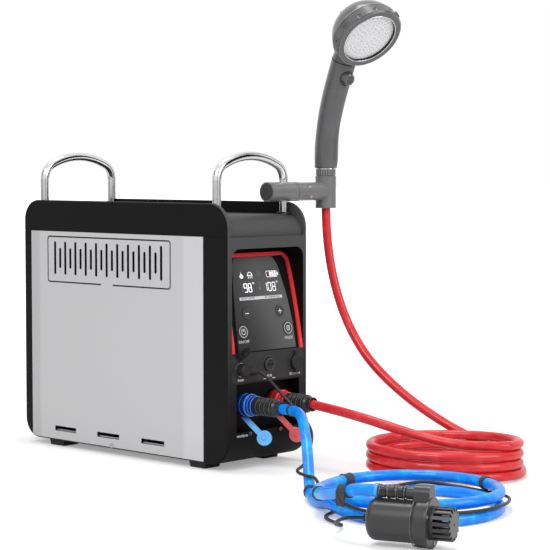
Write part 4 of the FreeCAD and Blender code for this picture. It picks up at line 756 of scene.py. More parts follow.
def arm_side(x, radius, degrees, up=(0, 0, 1)):
    """Matrix on the holder's console side, turned up from level."""
    turn = math.radians(degrees)
    way = Vector((0, -math.cos(turn), math.sin(turn)))
    return frame_at(Vector((x, -LEG_Y, ARM_Z)) + way * radius, way, up)


def shower_spot(reach, height):
    """Point in the plane of the hand shower."""
    return Vector((RISER_X, -LEG_Y, height)) + REACH_WAY * reach


def outwards(turn, radius):
    """Matrix that moves out along X at a turn in degrees."""
    return turned(turn) @ moved(radius)


def spray_at(depth, turn=0.0, radius=0.0):
    """Matrix on the spray face: Z leaves it, and X points outwards at a turn."""
    return frame_at(SPRAY_SPOT + SPRAY_WAY * depth, SPRAY_WAY) @ outwards(turn, radius)


def pump_at(along, turn=0.0, radius=0.0):
    """Matrix on the pump's axis: Z points to the strainer, X outwards at a turn."""
    return frame_at(PUMP_SPOT + PUMP_WAY * along, PUMP_WAY) @ outwards(turn, radius)


def pipe_at(along):
    """Matrix on the axis of the pump's outlet pipe."""
    return frame_at(PUMP_SPOT + PUMP_WAY * along + PIPE_RISE, PUMP_WAY)


def outward_face(turn, radius):
    """Matrix in a round part's own frame: Z leaves its side at a turn, Y runs along its axis."""
    lying = Matrix(((0, 0, 1, 0), (1, 0, 0, 0), (0, 1, 0, 0), (0, 0, 0, 1)))
    return outwards(turn, radius) @ lying


# ---------------------------------------------------------------- routes of hoses and cable

RED_RISER = (
    (133.4, -153.5, 336.0), (133.4, -153.5, 298.0), (133.9, -156.0, 259.0),
    (134.9, -163.0, 220.0), (136.6, -175.0, 183.0), (138.9, -191.5, 150.0),
    (142.0, -214.5, 119.0), (146.4, -246.0, 92.0), (151.2, -281.0, 69.0), (156.0, -314.0, 52.0),
)
# Angle on the coil's oval, how far outside it, and height, where the riser meets the floor.
RED_LANDING = ((78, 6.0, 41.0), (58, 5.5, 27.0), (38, 5.5, 14.5), (20, 5, 7.0))
RED_LEAD = (
    (27.0, -227.0, 75.0), (27.0, -249.0, 73.0), (27.6, -276.0, 70.0), (30.2, -305.0, 65.4),
    (35.0, -333.0, 59.6), (41.6, -361.0, 53.0), (50.0, -387.0, 47.2), (61.5, -409.0, 43.0),
    (76.0, -427.5, 41.2),
)
BLUE_LEAD = (
    (-27.0, -227.0, 75.0), (-29.0, -247.0, 75.5), (-38.5, -266.0, 74.8), (-52.0, -283.0, 71.4),
    (-68.0, -301.0, 63.0), (-85.0, -319.5, 49.0), (-101.0, -336.0, 33.0), (-116.0, -350.5, 18.5),
    (-131.0, -365.5, 9.0), (-146.0, -383.0, 6.6),
    (-159.0, -403.5, 6.8), (-170.0, -427.0, 10.8), (-178.8, -448.9, 8.2), (-184.6, -478.0, 6.2),
)
BLUE_TAIL = (
    (-156.0, -400.0, 20.6), (-175.0, -415.0, 22.4), (-197.0, -434.0, 26.4),
    (-218.0, -455.0, 30.8), (-236.0, -477.0, 35.4), (-248.5, -499.5, 40.4),
    (-255.6, -522.5, 46.6), (-255.6, -541.7, 50.5), (-249.7, -558.5, 50.5),
)
CABLE_LEAD = (
    (-24.4, -190.7, 114.5), (-16.7, -194.0, 109.4), (-10.4, -202.0, 98.0), (-6.6, -213.0, 86.0),
    (-5.2, -226.0, 75.5), (-7.4, -240.0, 67.8), (-13.4, -255.0, 61.4), (-24.0, -271.5, 54.6),
    (-39.5, -286.5, 48.0), (-58.0, -300.0, 40.6), (-77.0, -313.5, 33.0), (-98.0, -324.5, 28.0),
    (-114.0, -331.5, 27.5), (-123.5, -341.0, 26.5), (-124.5, -352.5, 25.0),
    (-118.5, -360.0, 23.5), (-120.5, -366.0, 20.5), (-126.0, -373.5, 17.2),
    (-132.5, -380.5, 13.0),
    (-143.0, -391.5, 11.2), (-156.5, -408.5, 14.0), (-166.0, -423.0, 18.2),
    (-179.0, -446.0, 17.6), (-186.0, -470.0, 15.0), (-191.0, -492.0, 14.0),
)
# Heading in degrees, how far the cable lies outside the lower blue turn, and its height.
CABLE_TURN = (
    (205, 1, 14.2), (225, 2, 14.2), (245, 3, 14), (265, 4, 13.2), (285, 5, 12.6), (303, 8, 12),
    (320, 12, 11), (338, 16, 9.2), (356, 12, 8.8), (374, 8, 11.2), (392, 0, 15.2), (410, -8, 12),
    (428, -10, 7), (446, -12, 5), (462, -14, 3.5),
)
CABLE_TAIL = (
    (-134.0, -410.0, 2.2), (-144.0, -420.0, 1.9), (-156.0, -427.5, 1.9),
    (-170.0, -431.0, 1.9), (-184.0, -435.0, 1.9), (-196.0, -444.0, 1.9), (-205.0, -460.0, 2.2),
    (-212.0, -478.0, 2.2), (-219.0, -487.0, 3.4), (-234.0, -491.5, 7.0), (-246.5, -502.0, 12.6),
    (-253.8, -515.5, 18.6), (-255.4, -530.0, 22.6), (-253.6, -547.4, 24.0),
)
BLUE_CENTRE, BLUE_RADIUS = Vector((-99, -478, 0)), 89
RED_CENTRE, RED_RADII = Vector((94, -372, 0)), (86, 71)
RED_AXES = Vector((0.682, -0.731, 0)), Vector((0.731, 0.682, 0))
TURN_STEP = 22.5
LAYER_RISE = 11.1
# The smooth line runs inside its points, so they lie this much further out.
TURN_SWELL, CABLE_SWELL = 1 / 0.981, 1 / 0.985


def between(value, rows):
    """Straight-line look-up in rows of (value, result)."""
    if value <= rows[0][0]:
        return rows[0][1]
    for (low, first), (high, last) in zip(rows, rows[1:]):
        if value <= high:
            return first + (last - first) * (value - low) / (high - low)
    return rows[-1][1]


def red_turn(angle, swell, height):
    """Point of the red coil's oval at an angle, moved out by a swell."""
    turn = math.radians(angle)
    spot = RED_CENTRE + Vector((0, 0, height))
    for axis, radius, share in zip(RED_AXES, RED_RADII, (math.cos(turn), math.sin(turn))):
        spot += axis * (radius + swell) * TURN_SWELL * share
    return tuple(spot)


def round_turn(angle, centre, radius, height):
    """Point of a round turn."""
    turn = math.radians(angle)
    return tuple(centre + Vector((math.cos(turn) * radius, math.sin(turn) * radius, height)))


def red_route():
    """From the holder down round the coil, four climbing turns, and on to the hot outlet."""
    points = list(RED_RISER) + [red_turn(*row) for row in RED_LANDING]
    for step in range(51):
        layer, part = divmod(step * TURN_STEP, 360)
        height = 5.5 + LAYER_RISE * layer + between(part, ((0, 0), (180, 7.8), (360, LAYER_RISE)))
        swell = 0.0
        if part > 180 and layer < 3:
            swell = between(part, ((240, 0), (275, -6.5), (345, -6.5), (360, -4)))
        elif layer:
            swell = between(part, ((0, -4), (30, 0)))
        points.append(red_turn(-step * TURN_STEP, swell, height))
    return points + list(reversed(RED_LEAD))


def blue_route():
    """From the cold inlet down, two turns, and up to the pump outlet."""
    points = list(BLUE_LEAD)
    for step in range(29):
        angle = 205.0 + step * TURN_STEP
        centre = BLUE_CENTRE.lerp(Vector((-83.5, -467, 0)), between(angle, ((450, 0), (485, 1))))
        radius = between(angle, ((465, BLUE_RADIUS), (490, 85.5), (505, 81), (520, 83),
                                 (532, BLUE_RADIUS)))
        height = between(angle, ((488, 6), (505, 10), (517, 15.5), (530, 18.4), (800, 18.4),
                                 (835, 19.4)))
        points.append(round_turn(angle, centre, radius * TURN_SWELL, height))
    return points + list(BLUE_TAIL)


def cable_route():
    """From the plug along the supply hose, round its coil and into the pump's rear."""
    turns = [round_turn(angle, BLUE_CENTRE, (BLUE_RADIUS + swell) * CABLE_SWELL, height)
             for angle, swell, height in CABLE_TURN]
    return list(CABLE_LEAD) + turns + list(CABLE_TAIL)


def tube(name, points, across, material, ends):
    """A hose or cable: one NURBS line with a round section, its diameter in metres."""
    data = bpy.data.curves.new(name, "CURVE")
    data.dimensions = "3D"
    line = data.splines.new("NURBS")
    line.points.add(len(points) - 1)
    for spot, target in zip(points, line.points):
        target.co = (spot[0] * MM, spot[1] * MM, spot[2] * MM, 1.0)
    line.order_u = 3
    line.use_endpoint_u = True
    line.resolution_u = 6
    data.bevel_depth = across / 2
    data.bevel_resolution = 5
    data.use_fill_caps = True
    piece = bpy.data.objects.new(name, data)
    bpy.context.scene.collection.objects.link(piece)
    fit(piece, None, material, ends[0])
    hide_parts(*ends)
    return piece


def strap(name, route, index, wide, webbing, tail=0.0):
    """Hook-and-loop strap beside a route's point; its free end hangs down by a tail's length."""
    inner, thick = 6.15, 1.1
    piece = sleeve(name, inner, wide, 44, cuts=4)
    changed(piece, "SOLIDIFY", thickness=thick * MM, offset=1.0)
    if tail:
        pick(piece, lambda c, n: n.x * c.x + n.y * c.y > 0.5 * inner * MM
             and 20 < math.degrees(math.atan2(c.y, c.x)) < 150)
        bpy.ops.mesh.extrude_region_shrink_fatten(
            TRANSFORM_OT_shrink_fatten={"value": -0.9 * MM})
        done()
    rounded(piece, 0.3, 1)
    soften(piece, 40)
    before, here, after = (Vector(route[index + step]) for step in (-1, 0, 1))
    place, heading = (before + 6 * here + after) / 8, after - before
    put(piece, frame_at(place, heading))
    if tail:
        side = heading.cross(Vector((0, 0, 1))).normalized()
        if side.dot(RED_AXES[1]) > 0:
            side = -side
        flap = block("flap", (wide, tail, thick), 1.2, 0.3)
        put(flap, frame_at(place + side * (inner + 0.4), side) @ moved(0, 1 - tail / 2))
        piece = joined([piece, flap], name)
    return fit(piece, None, webbing)


# ---------------------------------------------------------------- operators

# The stage is the one operator whose places and sizes are in metres.
class MakeStage(bpy.types.Operator):
    """Camera, lamps, pale world and floor"""
    bl_idname = "heater.stage"
    bl_label = "Stage"

    def execute(self, context):
        scene = context.scene
        view = self.added("camera", bpy.data.cameras.new("camera"), (-1.5503, -1.6392, 0.35425))
        view.rotation_euler = (math.radians(90 - 3.457), 0, math.radians(-46.983))
        view.data.lens, view.data.sensor_width = 119.35, 36.0
        scene.camera = view
        scene.view_settings.view_transform = "Standard"
        for name, place, aim, size, power in (
                ("key", (-1.9, -1.0, 1.9), (0, -0.1, 0.2), 1.3, 33.0),
                ("front", (0.5, -2.3, 1.2), (0, -0.3, 0.2), 1.2, 20.0),
                ("top", (0.2, 0.1, 2.4), (0, 0, 0), 1.0, 21.0)):
            light = bpy.data.lights.new(name, "AREA")
            light.size, light.energy = size, power
            self.added(name, light, place).rotation_euler = self.look(place, aim, "-Z").to_euler()
        self.world(scene)
        self.floor()
        self.boards()
        return {"FINISHED"}

    def added(self, name, data, place):
        """A new object in the scene at a place."""
        thing = bpy.data.objects.new(name, data)
        bpy.context.scene.collection.objects.link(thing)
        thing.location = place
        return thing

    def look(self, place, aim, axis):
        """Turn that points an axis from a place at an aim."""
        return (Vector(aim) - Vector(place)).to_track_quat(axis, "Y")

    def world(self, scene):
        """White where it is seen or mirrored, and a weaker fill for all other light."""
        scene.world = bpy.data.worlds.new("studio")
        scene.world.use_nodes = True
        tree = scene.world.node_tree
        tree.nodes.clear()
        path = tree.nodes.new("ShaderNodeLightPath")
        seen = path.outputs["Is Camera Ray"]
        for name in ("Is Glossy Ray", "Is Transmission Ray"):
            both = tree.nodes.new("ShaderNodeMath")
            both.operation = "MAXIMUM"
            tree.links.new(seen, both.inputs[0])
            tree.links.new(path.outputs[name], both.inputs[1])
            seen = both.outputs[0]
        mixed = tree.nodes.new("ShaderNodeMixShader")
        tree.links.new(seen, mixed.inputs[0])
        for number, strength in ((1, 0.42), (2, 1.0)):
            sky = tree.nodes.new("ShaderNodeBackground")
            sky.inputs["Strength"].default_value = strength
            sky.inputs["Color"].default_value = (1, 1, 1, 1)
            tree.links.new(sky.outputs[0], mixed.inputs[number])
        output = tree.nodes.new("ShaderNodeOutputWorld")
        tree.links.new(mixed.outputs[0], output.inputs[0])

    def boards(self):
        """Dark studio boards, seen only in reflections."""
        finish = Finish("studio_board", {"Roughness": 1.0, "Specular IOR Level": 0.0})
        finish.set(Base_Color=finish.mix(finish.noise(30.0), (0.004, 0.004, 0.004),
                                         (0.010, 0.010, 0.010)))
        for name, place, wide in (("left_board", (-1.9, 1.5, 0.9), 0.9),
                                  ("right_board", (1.6, -1.9, 0.8), 0.8),
                                  ("near_board", (-1.15, -2.35, 0.8), 0.30)):
            bpy.ops.mesh.primitive_plane_add(size=1, location=(0, 0, 0))
            piece = fresh(name)
            heading = self.look(place, (0, 0, 0.25), "Z").to_matrix().to_4x4()
            heading.translation = Vector(place)
            put(piece, heading @ Matrix.Diagonal((wide, 2.2, 1, 1)))
            piece.data.materials.append(finish.material)
            for ray in ("camera", "diffuse", "transmission", "volume_scatter", "shadow"):
                setattr(piece, "visible_" + ray, False)

    def floor(self):
        """Pale floor that lightens with distance."""
        bpy.ops.object.select_all(action="DESELECT")
        bpy.ops.mesh.primitive_plane_add(size=40, location=(0, 0, -0.0004))
        ground = fresh("floor")
        finish = Finish("studio_floor", {"Roughness": 0.9, "Specular IOR Level": 0.1})
        side, along, _ = finish.axes()
        far = (side * side + along * along).root()
        seen = finish.node("ShaderNodeLightPath", out="Is Camera Ray")
        lift = 0.28 + finish.band(far, 700.0, 3000.0) * 0.8
        grey = finish.node("ShaderNodeCombineColor", values={0: lift, 1: lift, 2: lift})
        finish.set(Base_Color=(0.86, 0.86, 0.86), Emission_Color=finish.mix(seen, (0, 0, 0), grey),
                   Emission_Strength=1.0)
        ground.data.materials.append(finish.material)


class MakeHoses(bpy.types.Operator):
    """Shower hose, supply hose and pump cable with their straps"""
    bl_idname = "heater.hoses"
    bl_label = "Hoses and cable"

    def execute(self, context):
        # The second colour of each hose is its pale streak colour: partly bloom and partly a
        # painted highlight.
        red = tube("shower_hose", red_route(), span("red_bore"),
                   hose_skin("hose_red", tint("hose_red"), (0.80, 0.06, 0.07)),
                   ("red_hose", "red_hose_coil"))
        route = blue_route()
        blue = tube("supply_hose", route, span("blue_bore"),
                    hose_skin("hose_blue", tint("hose_blue"), (0.0, 0.60, 1.0)),
                    ("blue_hose", "blue_hose_coil"))
        cable = tube("cable", cable_route(), span("cable_bore"),
                     rubbery("cable_rubber", (0.012, 0.012, 0.012), 0.32), ("pump_cable",))
        webbing = rubbery("strap_webbing", tint("strap_black"), 0.5)
        start, end = len(BLUE_LEAD), len(route) - len(BLUE_TAIL)
        wide = span("strap_width") / MM
        straps = [strap(name, route, index, width, webbing, tail) for name, index, width, tail in (
            ("coil_strap", start + 27, wide, 12.5), ("tail_strap", end + 6, wide, 15.0),
            ("right_tie", start + 22, wide * 0.5, 0.0), ("tail_tie", end + 3, 3.0, 0.0),
            ("lead_tie", 8, 5.0, 0.0), ("coupler_tie", 1, 3.0, 0.0))]
        for piece, across, long, exit_at, stiffness, extra in (
                (red, "red_bore", 2.246, RED_RISER[0], "medium", []),
                (blue, "blue_bore", 1.553, BLUE_LEAD[0], "medium", straps),
                (cable, "cable_bore", 1.077, CABLE_LEAD[0], "limp",
                 [frame["nodes"]["power_plug"]])):
            span(across)
        return {"FINISHED"}


class PaintCase(bpy.types.Operator):
    """Finishes of the case, the handles and what is inside"""
    bl_idname = "heater.case"
    bl_label = "Case finishes"

    def execute(self, context):
        paint("front_housing rear_cover top_cap", shell_plastic("case_plastic"))
        for side in ("left", "right"):
            paint(side + "_side_panel", powder_coat("powder_coat_" + side))
        for board_name in ("display", "control"):
            paint(board_name + "_board", board("circuit_" + board_name))
        for nodes, material in (
                ("front_handle rear_handle",
                 metal("polished_bar", tint("steel"), 0.12, scale=90.0, depth=0.004)),
                ("base_pan", zinc_sheet("zinc_sheet")),
                ("combustion_chamber exhaust_hood",
                 metal("heated_steel", (0.10, 0.095, 0.09), 0.45, scale=60.0)),
                ("handle_nuts burner igniter_electrode panel_sockets",
                 metal("brushed_steel", (0.5, 0.5, 0.51), 0.32, (1, 1, 12))),
                ("water_nipples gas_inlet gas_valve",
                 metal("machined_brass", tint("brass"), 0.28, (8, 1, 8))),
                ("heat_exchanger water_pipes",
                 metal("tinned_copper", tint("copper"), 0.34, scale=240.0)),
                ("feet", rubbery("foot_rubber", tint("rubber"))),
                ("battery_pack", moulded("shrink_sleeve", (0.02, 0.06, 0.16), 0.3, coat=0.4)),
                ("fan_housing fan_rotor flow_sensor",
                 moulded("inner_plastic", (0.02, 0.02, 0.02), 0.5))):
            paint(nodes, material)
        return {"FINISHED"}


class PaintConsole(bpy.types.Operator):
    """Finishes of the console, its keys, caps and couplers"""
    bl_idname = "heater.console"
    bl_label = "Console finishes"

    def execute(self, context):
        for nodes, material in (
                ("control_panel", console_film("console_film")),
                ("accent_strip", glossy("accent_gloss", tint("accent"), 0.25, share=0.06)),
                ("minus_button plus_button power_button mode_button",
                 moulded("key_film", (0.05, 0.05, 0.052), 0.35, 0.02, coat=0.2)),
                ("port_plate", moulded("plate_plastic", (0.028, 0.028, 0.029), 0.42)),
                ("fuse_cap", moulded("fuse_plastic", (0.02, 0.02, 0.02), 0.35)),
                ("charge_socket_cap pump_socket_cap power_plug",
                 rubbery("cap_rubber", (0.005, 0.005, 0.005), 0.5)),
                ("inlet_lock_ring", glossy("ring_blue", tint("ring_blue"), 0.22, coat=0.6)),
                ("outlet_lock_ring", glossy("ring_red", tint("ring_red"), 0.22, coat=0.6)),
                ("inlet_coupler outlet_coupler",
                 glossy("coupler_black", (0.022, 0.022, 0.023), 0.3, coat=0.3, depth=0.02)),
                ("inlet_stopper",
                 stopper_rubber("stopper_blue", tint("stopper_blue"), (0.006, 0.05, 0.36))),
                ("outlet_stopper",
                 stopper_rubber("stopper_red", tint("stopper_red"), (0.42, 0.012, 0.018)))):
            paint(nodes, material)
        return {"FINISHED"}


class PaintShower(bpy.types.Operator):
    """Finishes of the hand shower, its holder and the pump"""
    bl_idname = "heater.shower"
    bl_label = "Shower and pump finishes"

    def execute(self, context):
        for nodes, material in (
                ("shower_handle shower_head hose_nut stop_button spray_bezel",
                 glossy("shower_plastic", tint("shower_grey"), 0.28, 1200.0, 0.06, 0.55)),
                ("holder_clamp holder_socket",
                 glossy("holder_plastic", tint("holder_grey"), 0.32, 1200.0, 0.06, 0.4, 0.02)),
                ("spray_plate",
                 glossy("spray_plastic", tint("nozzle_white"), 0.25, 1200.0, 0.03, 0.4)),
                ("pump_body pump_collar strainer_basket",
                 glossy("pump_plastic", tint("pump_black"), 0.34, 1300.0, 0.1, 0.35, 0.02)),
                ("pump_impeller", moulded("impeller_plastic", (0.02, 0.02, 0.02), 0.5))):
            paint(nodes, material)
        return {"FINISHED"}


SEGMENTS = {"0": "abcdef", "1": "bc", "8": "abcdefg", "9": "abcdfg"}
SEGMENT_SPOTS = {"a": (0, 1, 0), "g": (0, 0, 0), "d": (0, -1, 0), "b": (1, 0.5, 1),
                 "c": (1, -0.5, 1), "f": (-1, 0.5, 1), "e": (-1, -0.5, 1)}


class PrintConsole(bpy.types.Operator):
    """Display figures, icons and captions on the console"""
    bl_idname = "heater.printing"
    bl_label = "Console printing"

    def execute(self, context):
        lit = glow("display_light", tint("print_white"), 0.55)
        # Unlit segments and icons are given a faint painted glow.
        dim = glow("display_dim", (0.16, 0.16, 0.165), 0.05)
        # Caption ink is given a faint painted glow.
        ink = glow("caption_ink", (0.62, 0.62, 0.64), 0.10)
        red = glow("display_red", (0.12, 0.005, 0.012), 0.3)
        caption = span("caption_height") / MM
        cell = block("battery_cell", (3.0, 5.4, PRINT_THICK), 0.4)
        low_cell = copied(cell, "battery_low_cell")
        for piece, shade, x, z in (
                (self.number("water_figures", "98", True), lit, -19.0, 210.8),
                (self.number("water_figure_off", "1"), dim, -30.4, 210.8),
                (self.number("setting_figures", "108"), lit, 18.2, 210.6),
                (ring("water_degree", 1.2, 0.7, PRINT_THICK, 20), lit, -8.4, 215.9),
                (ring("setting_degree", 1.2, 0.7, PRINT_THICK, 20), lit, 31.6, 215.9),
                (teardrop("flame_icon", 8.4), lit, -26.0, 224.6),
                (self.shower_icon(), lit, -11.8, 225.2),
                (frame_outline("battery_outline", 18.4, 7.6, 0.6, 1.2), lit, 25.4, 225.3),
                (block("battery_nub", (1.2, 3.6, PRINT_THICK), 0.3, cushion=True), lit, 35.6,
                 225.3),
                (low_cell, red, 19.0, 225.3),
                (spread(cell, [moved(x) for x in (-4.0, 0.0, 4.0)], "battery_cells"), lit, 27.2,
                 225.3),
                (self.fan_icon(), dim, 3.4, 226.6),
                (self.gauge_icon(), dim, 1.2, 212.4),
                (block("caption_bar", (72.5, 3.6, PRINT_THICK), 0.4), ink, 0.4, 198.6),
                (lettering("power_caption", "ON/OFF", caption), ink, -38.2, 149.6),
                (lettering("mode_caption", "MODE", caption), ink, 38.2, 149.6)):
            fit(piece, console_at(x, z), shade, "control_panel")
        for name, words, x in (("water_caption", "OUTLET WATER", -22.0),
                               ("setting_caption", "SET TEMPERATURE", 19.5)):
            fit(lettering(name, words, 2.1), console_at(x, 198.6, 0.22), made("console_film"),
                "control_panel")
        return {"FINISHED"}

    def number(self, name, figures, cushion=False):
        """Seven-segment figures side by side, centred, as one mesh."""
        height = span("digit_height") / MM
        wide, stroke = height * 0.52, height * 0.088
        segment = block("segment", (wide - stroke * 1.15, stroke, PRINT_THICK), stroke * 0.42,
                        cushion=cushion)
        places = []
        for number, figure in enumerate(figures):
            shift = (number - (len(figures) - 1) / 2) * wide * 1.28
            for side, level, upright in (SEGMENT_SPOTS[letter] for letter in SEGMENTS[figure]):
                places.append(moved(shift + side * (wide - stroke) / 2,
                                    level * (height - stroke) / 2) @ turned(90 * upright))
        return spread(segment, places, name)

    def shower_icon(self):
        """Small shower rose over three drops."""
        arch = ring("arch", 4.0, 3.1, PRINT_THICK, 32)
        pick(arch, lambda c, n: c.y < 0.1 * MM)
        remove_picked()
        brim = put(block("brim", (9.6, 1.0, PRINT_THICK), 0.4), moved(0, -0.3))
        drops = spread(block("drop", (0.9, 2.4, PRINT_THICK), 0.4),
                       [moved(x, -2.7) for x in (-3.0, 0, 3.0)], "drops")
        return joined([arch, brim, drops], "shower_icon")

    def fan_icon(self):
        """Three blades in a ring."""
        rim = ring("rim", 3.8, 3.2, PRINT_THICK, 32)
        blades = spread(teardrop("blade", 3.2),
                        [turned(turn) @ moved(0, 0.7) for turn in (0, 120, 240)], "blades")
        return joined([rim, blades], "fan_icon")

    def gauge_icon(self):
        """Thermometer with its marks."""
        stem = put(frame_outline("stem", 2.6, 8.0, 0.5, 0.9), moved(0, 1.2))
        bulb = put(disc("bulb", 1.9, PRINT_THICK, 24), moved(0, -3.2))
        marks = spread(block("mark", (1.6, 0.5, PRINT_THICK)),
                       [moved(3.1, y) for y in (0.2, 2.0, 3.8)], "marks")
        return joined([stem, bulb, marks], "gauge_icon")


class FitKeys(bpy.types.Operator):
    """Rings, painted highlight arcs and symbols of the four keys"""
    bl_idname = "heater.keys"
    bl_label = "Keys"

    def execute(self, context):
        # Key ink is given a faint painted glow.
        ink = glow("key_ink", (0.66, 0.66, 0.68), 0.15)
        rim = moulded("key_rim", (0.10, 0.10, 0.105), 0.25, 0.01, coat=0.4)
        bar = (5.8, 1.1, PRINT_THICK)
        for node, sign, x, z, radius in (
                ("minus_button", block("minus_sign", bar, 0.4), -28.0, 181.6, 6.8),
                ("plus_button", spread(block("sign", bar, 0.4), [turned(0), turned(90)],
                                       "plus_sign"), 28.0, 181.6, 6.8),
                ("power_button", self.power_sign(), -38.2, 161.0, 7.8),
                ("mode_button", self.mode_sign(), 38.2, 161.0, 7.8)):
            if radius > 7:
                line, shade = self.circle(node + "_outline", radius, 0.86, 0.79), ink
            else:
                # On the minus and plus keys only the upper right arc of the ring stays: a painted
                # highlight on the rim of the key's dish.
                line, shade = self.circle(node + "_arc", radius, 0.88, 0.80), rim
                pick(line, lambda c, n: c.x + c.y < 4.5 * MM)
                remove_picked()
            dish = self.circle(node + "_rim", radius, 0.99, 0.90, 0.18)
            for piece, material in ((sign, ink), (dish, rim), (line, shade)):
                fit(piece, console_at(x, z, 0.96), material, node)
        return {"FINISHED"}

    def circle(self, name, radius, outer, inner, thick=PRINT_THICK):
        """Ring between two shares of a key's radius."""
        return ring(name, radius * outer, radius * inner, thick, 56)

    def power_sign(self):
        """Open ring with a stroke."""
        circle = ring("circle", 3.4, 2.7, PRINT_THICK, 40)
        pick(circle, lambda c, n: c.y > 0 and abs(c.x) < 1.1 * MM)
        remove_picked()
        stroke = put(block("stroke", (0.8, 3.6, PRINT_THICK), 0.3), moved(0, 2.0))
        return joined([circle, stroke], "power_sign")

    def mode_sign(self):
        """Rounded square with a dot and a tick."""
        square = frame_outline("square", 5.6, 6.0, 0.7, 1.1)
        dot = put(disc("dot", 0.9, PRINT_THICK, 20), moved(0, 0.8))
        tick = put(block("tick", (2.6, 0.6, PRINT_THICK)), moved(0, -1.5))
        return joined([square, dot, tick], "mode_sign")


class PrintPorts(bpy.types.Operator):
    """Captions and rings of the port plate and the front"""
    bl_idname = "heater.ports"
    bl_label = "Port plate"

    def execute(self, context):
        # Port ink is given a faint painted glow.
        ink = glow("port_ink", (0.72, 0.72, 0.74), 0.15)
        for name, words, x, z, slot in (
                ("pump_caption", "PUMP", -46.4, 105.6, "port_plate"),
                ("fuse_caption", "FUSE", 2.0, 107.4, "port_plate"),
                ("charge_caption", "DC 12V IN", 45.6, 106.6, "port_plate"),
                ("inlet_caption", "WATER IN", -44.0, 40.6, "front_housing"),
                ("outlet_caption", "OUT", 42.0, 40.6, "front_housing")):
            fit(lettering(name, words, 2.7), front_at(x, z), ink, slot)
        for side, x in (("left", -5.6), ("right", 9.4)):
            fit(block("fuse_mark_" + side, (5.0, 0.7, PRINT_THICK)), front_at(x, 104.4), ink,
                "port_plate")
        halo = moulded("port_halo", (0.055, 0.055, 0.057), 0.3, coat=0.3)
        for name, x, z, radius in (("fuse_halo", 0.5, 121.0, 10.6),
                                   ("charge_halo", 46.6, 120.0, 11.2)):
            fit(ring(name, radius, radius - 0.9, 0.5, 56, 0.1), front_at(x, z, 0.0), halo,
                "port_plate")
        fit(ring("fuse_rim", 7.4, 6.2, 0.3, 48, 0.1), front_at(0.5, 121.0, 2.38), halo, "fuse_cap")
        eyelets = [front_at(x, 42.6, 0.0) for x in (-30.0, 21.6)]
        fit(spread(ring("eyelet", 2.1, 1.2, 0.3, 32, 0.1), eyelets, "tether_eyelets"), None,
            metal("socket_nickel", (0.62, 0.62, 0.63), 0.25))
        return {"FINISHED"}


class TrimCouplers(bpy.types.Operator):
    """Pale rims of the lock rings, and pale bands on the couplers' ribs that are painted
    highlights
    """
    bl_idname = "heater.couplers"
    bl_label = "Coupler trim"

    def execute(self, context):
        rib = moulded("coupler_rib", (0.15, 0.145, 0.135), 0.24, 0.01, coat=0.5)
        for name, x, rim, lip in (
                ("inlet", -PORT_X, moulded("rim_blue", (0.10, 0.35, 0.80), 0.25, 0.01, coat=0.5),
                 rubbery("lip_blue", (0.22, 0.58, 0.92), 0.4)),
                ("outlet", PORT_X, moulded("rim_red", (0.85, 0.10, 0.11), 0.25, 0.01, coat=0.5),
                 rubbery("lip_red", (0.95, 0.24, 0.24), 0.4))):
            for part, outer, inner, lift, thick in (("face", 13.4, 12.2, -1.85, 0.8),
                                                    ("waist", 11.2, 10.6, 1.2, 0.7),
                                                    ("lip", 11.5, 10.8, 6.45, 0.6)):
                fit(ring("%s_%s_rim" % (name, part), outer, inner, thick, 64, 0.15),
                    front_at(x, PORT_Z, lift), rim, name + "_lock_ring")
            self.stopper(name + "_stopper", STOPPER_SPOTS[name], x, rim, lip)
            # The pale bands on the ribs are painted highlights on their edges.
            bands = [put(ridge_ring("%s_rib_%d" % (name, number), 10.35, 0.6, 0.4),
                         front_at(x, PORT_Z, lift))
                     for number, lift in enumerate((14.4, 21.2, 28.0, 35.4))]
            fit(joined(bands, name + "_coupler_ribs"), None, rib, name + "_coupler")
            fit(ridge_ring(name + "_cuff", 6.8, 2.2, 1.6), front_at(x, PORT_Z, 45.6),
                made("coupler_black"), name + "_coupler")
        return {"FINISHED"}

    def stopper(self, node, spot, x, rim, lip):
        """Rim of a stopper's tether ring and lip of its plug."""
        fit(ring(node + "_rim", 13.4, 12.7, 0.3, 64, 0.1), front_at(x, PORT_Z, -9.2), rim, node)
        way = (Vector((x - 2.6, -169.7, 61.8)) - spot).normalized()
        facing = Vector((-0.73, -0.68, 0.1))
        facing = (facing - way * facing.dot(way)).normalized()
        # The lip is a raised rim of the plug; its paler colour is a painted highlight.
        fit(ring(node + "_lip", 8.7, 7.7, 0.9, 48, 0.3), frame_at(spot + facing * 1.3, facing),
            lip, node)


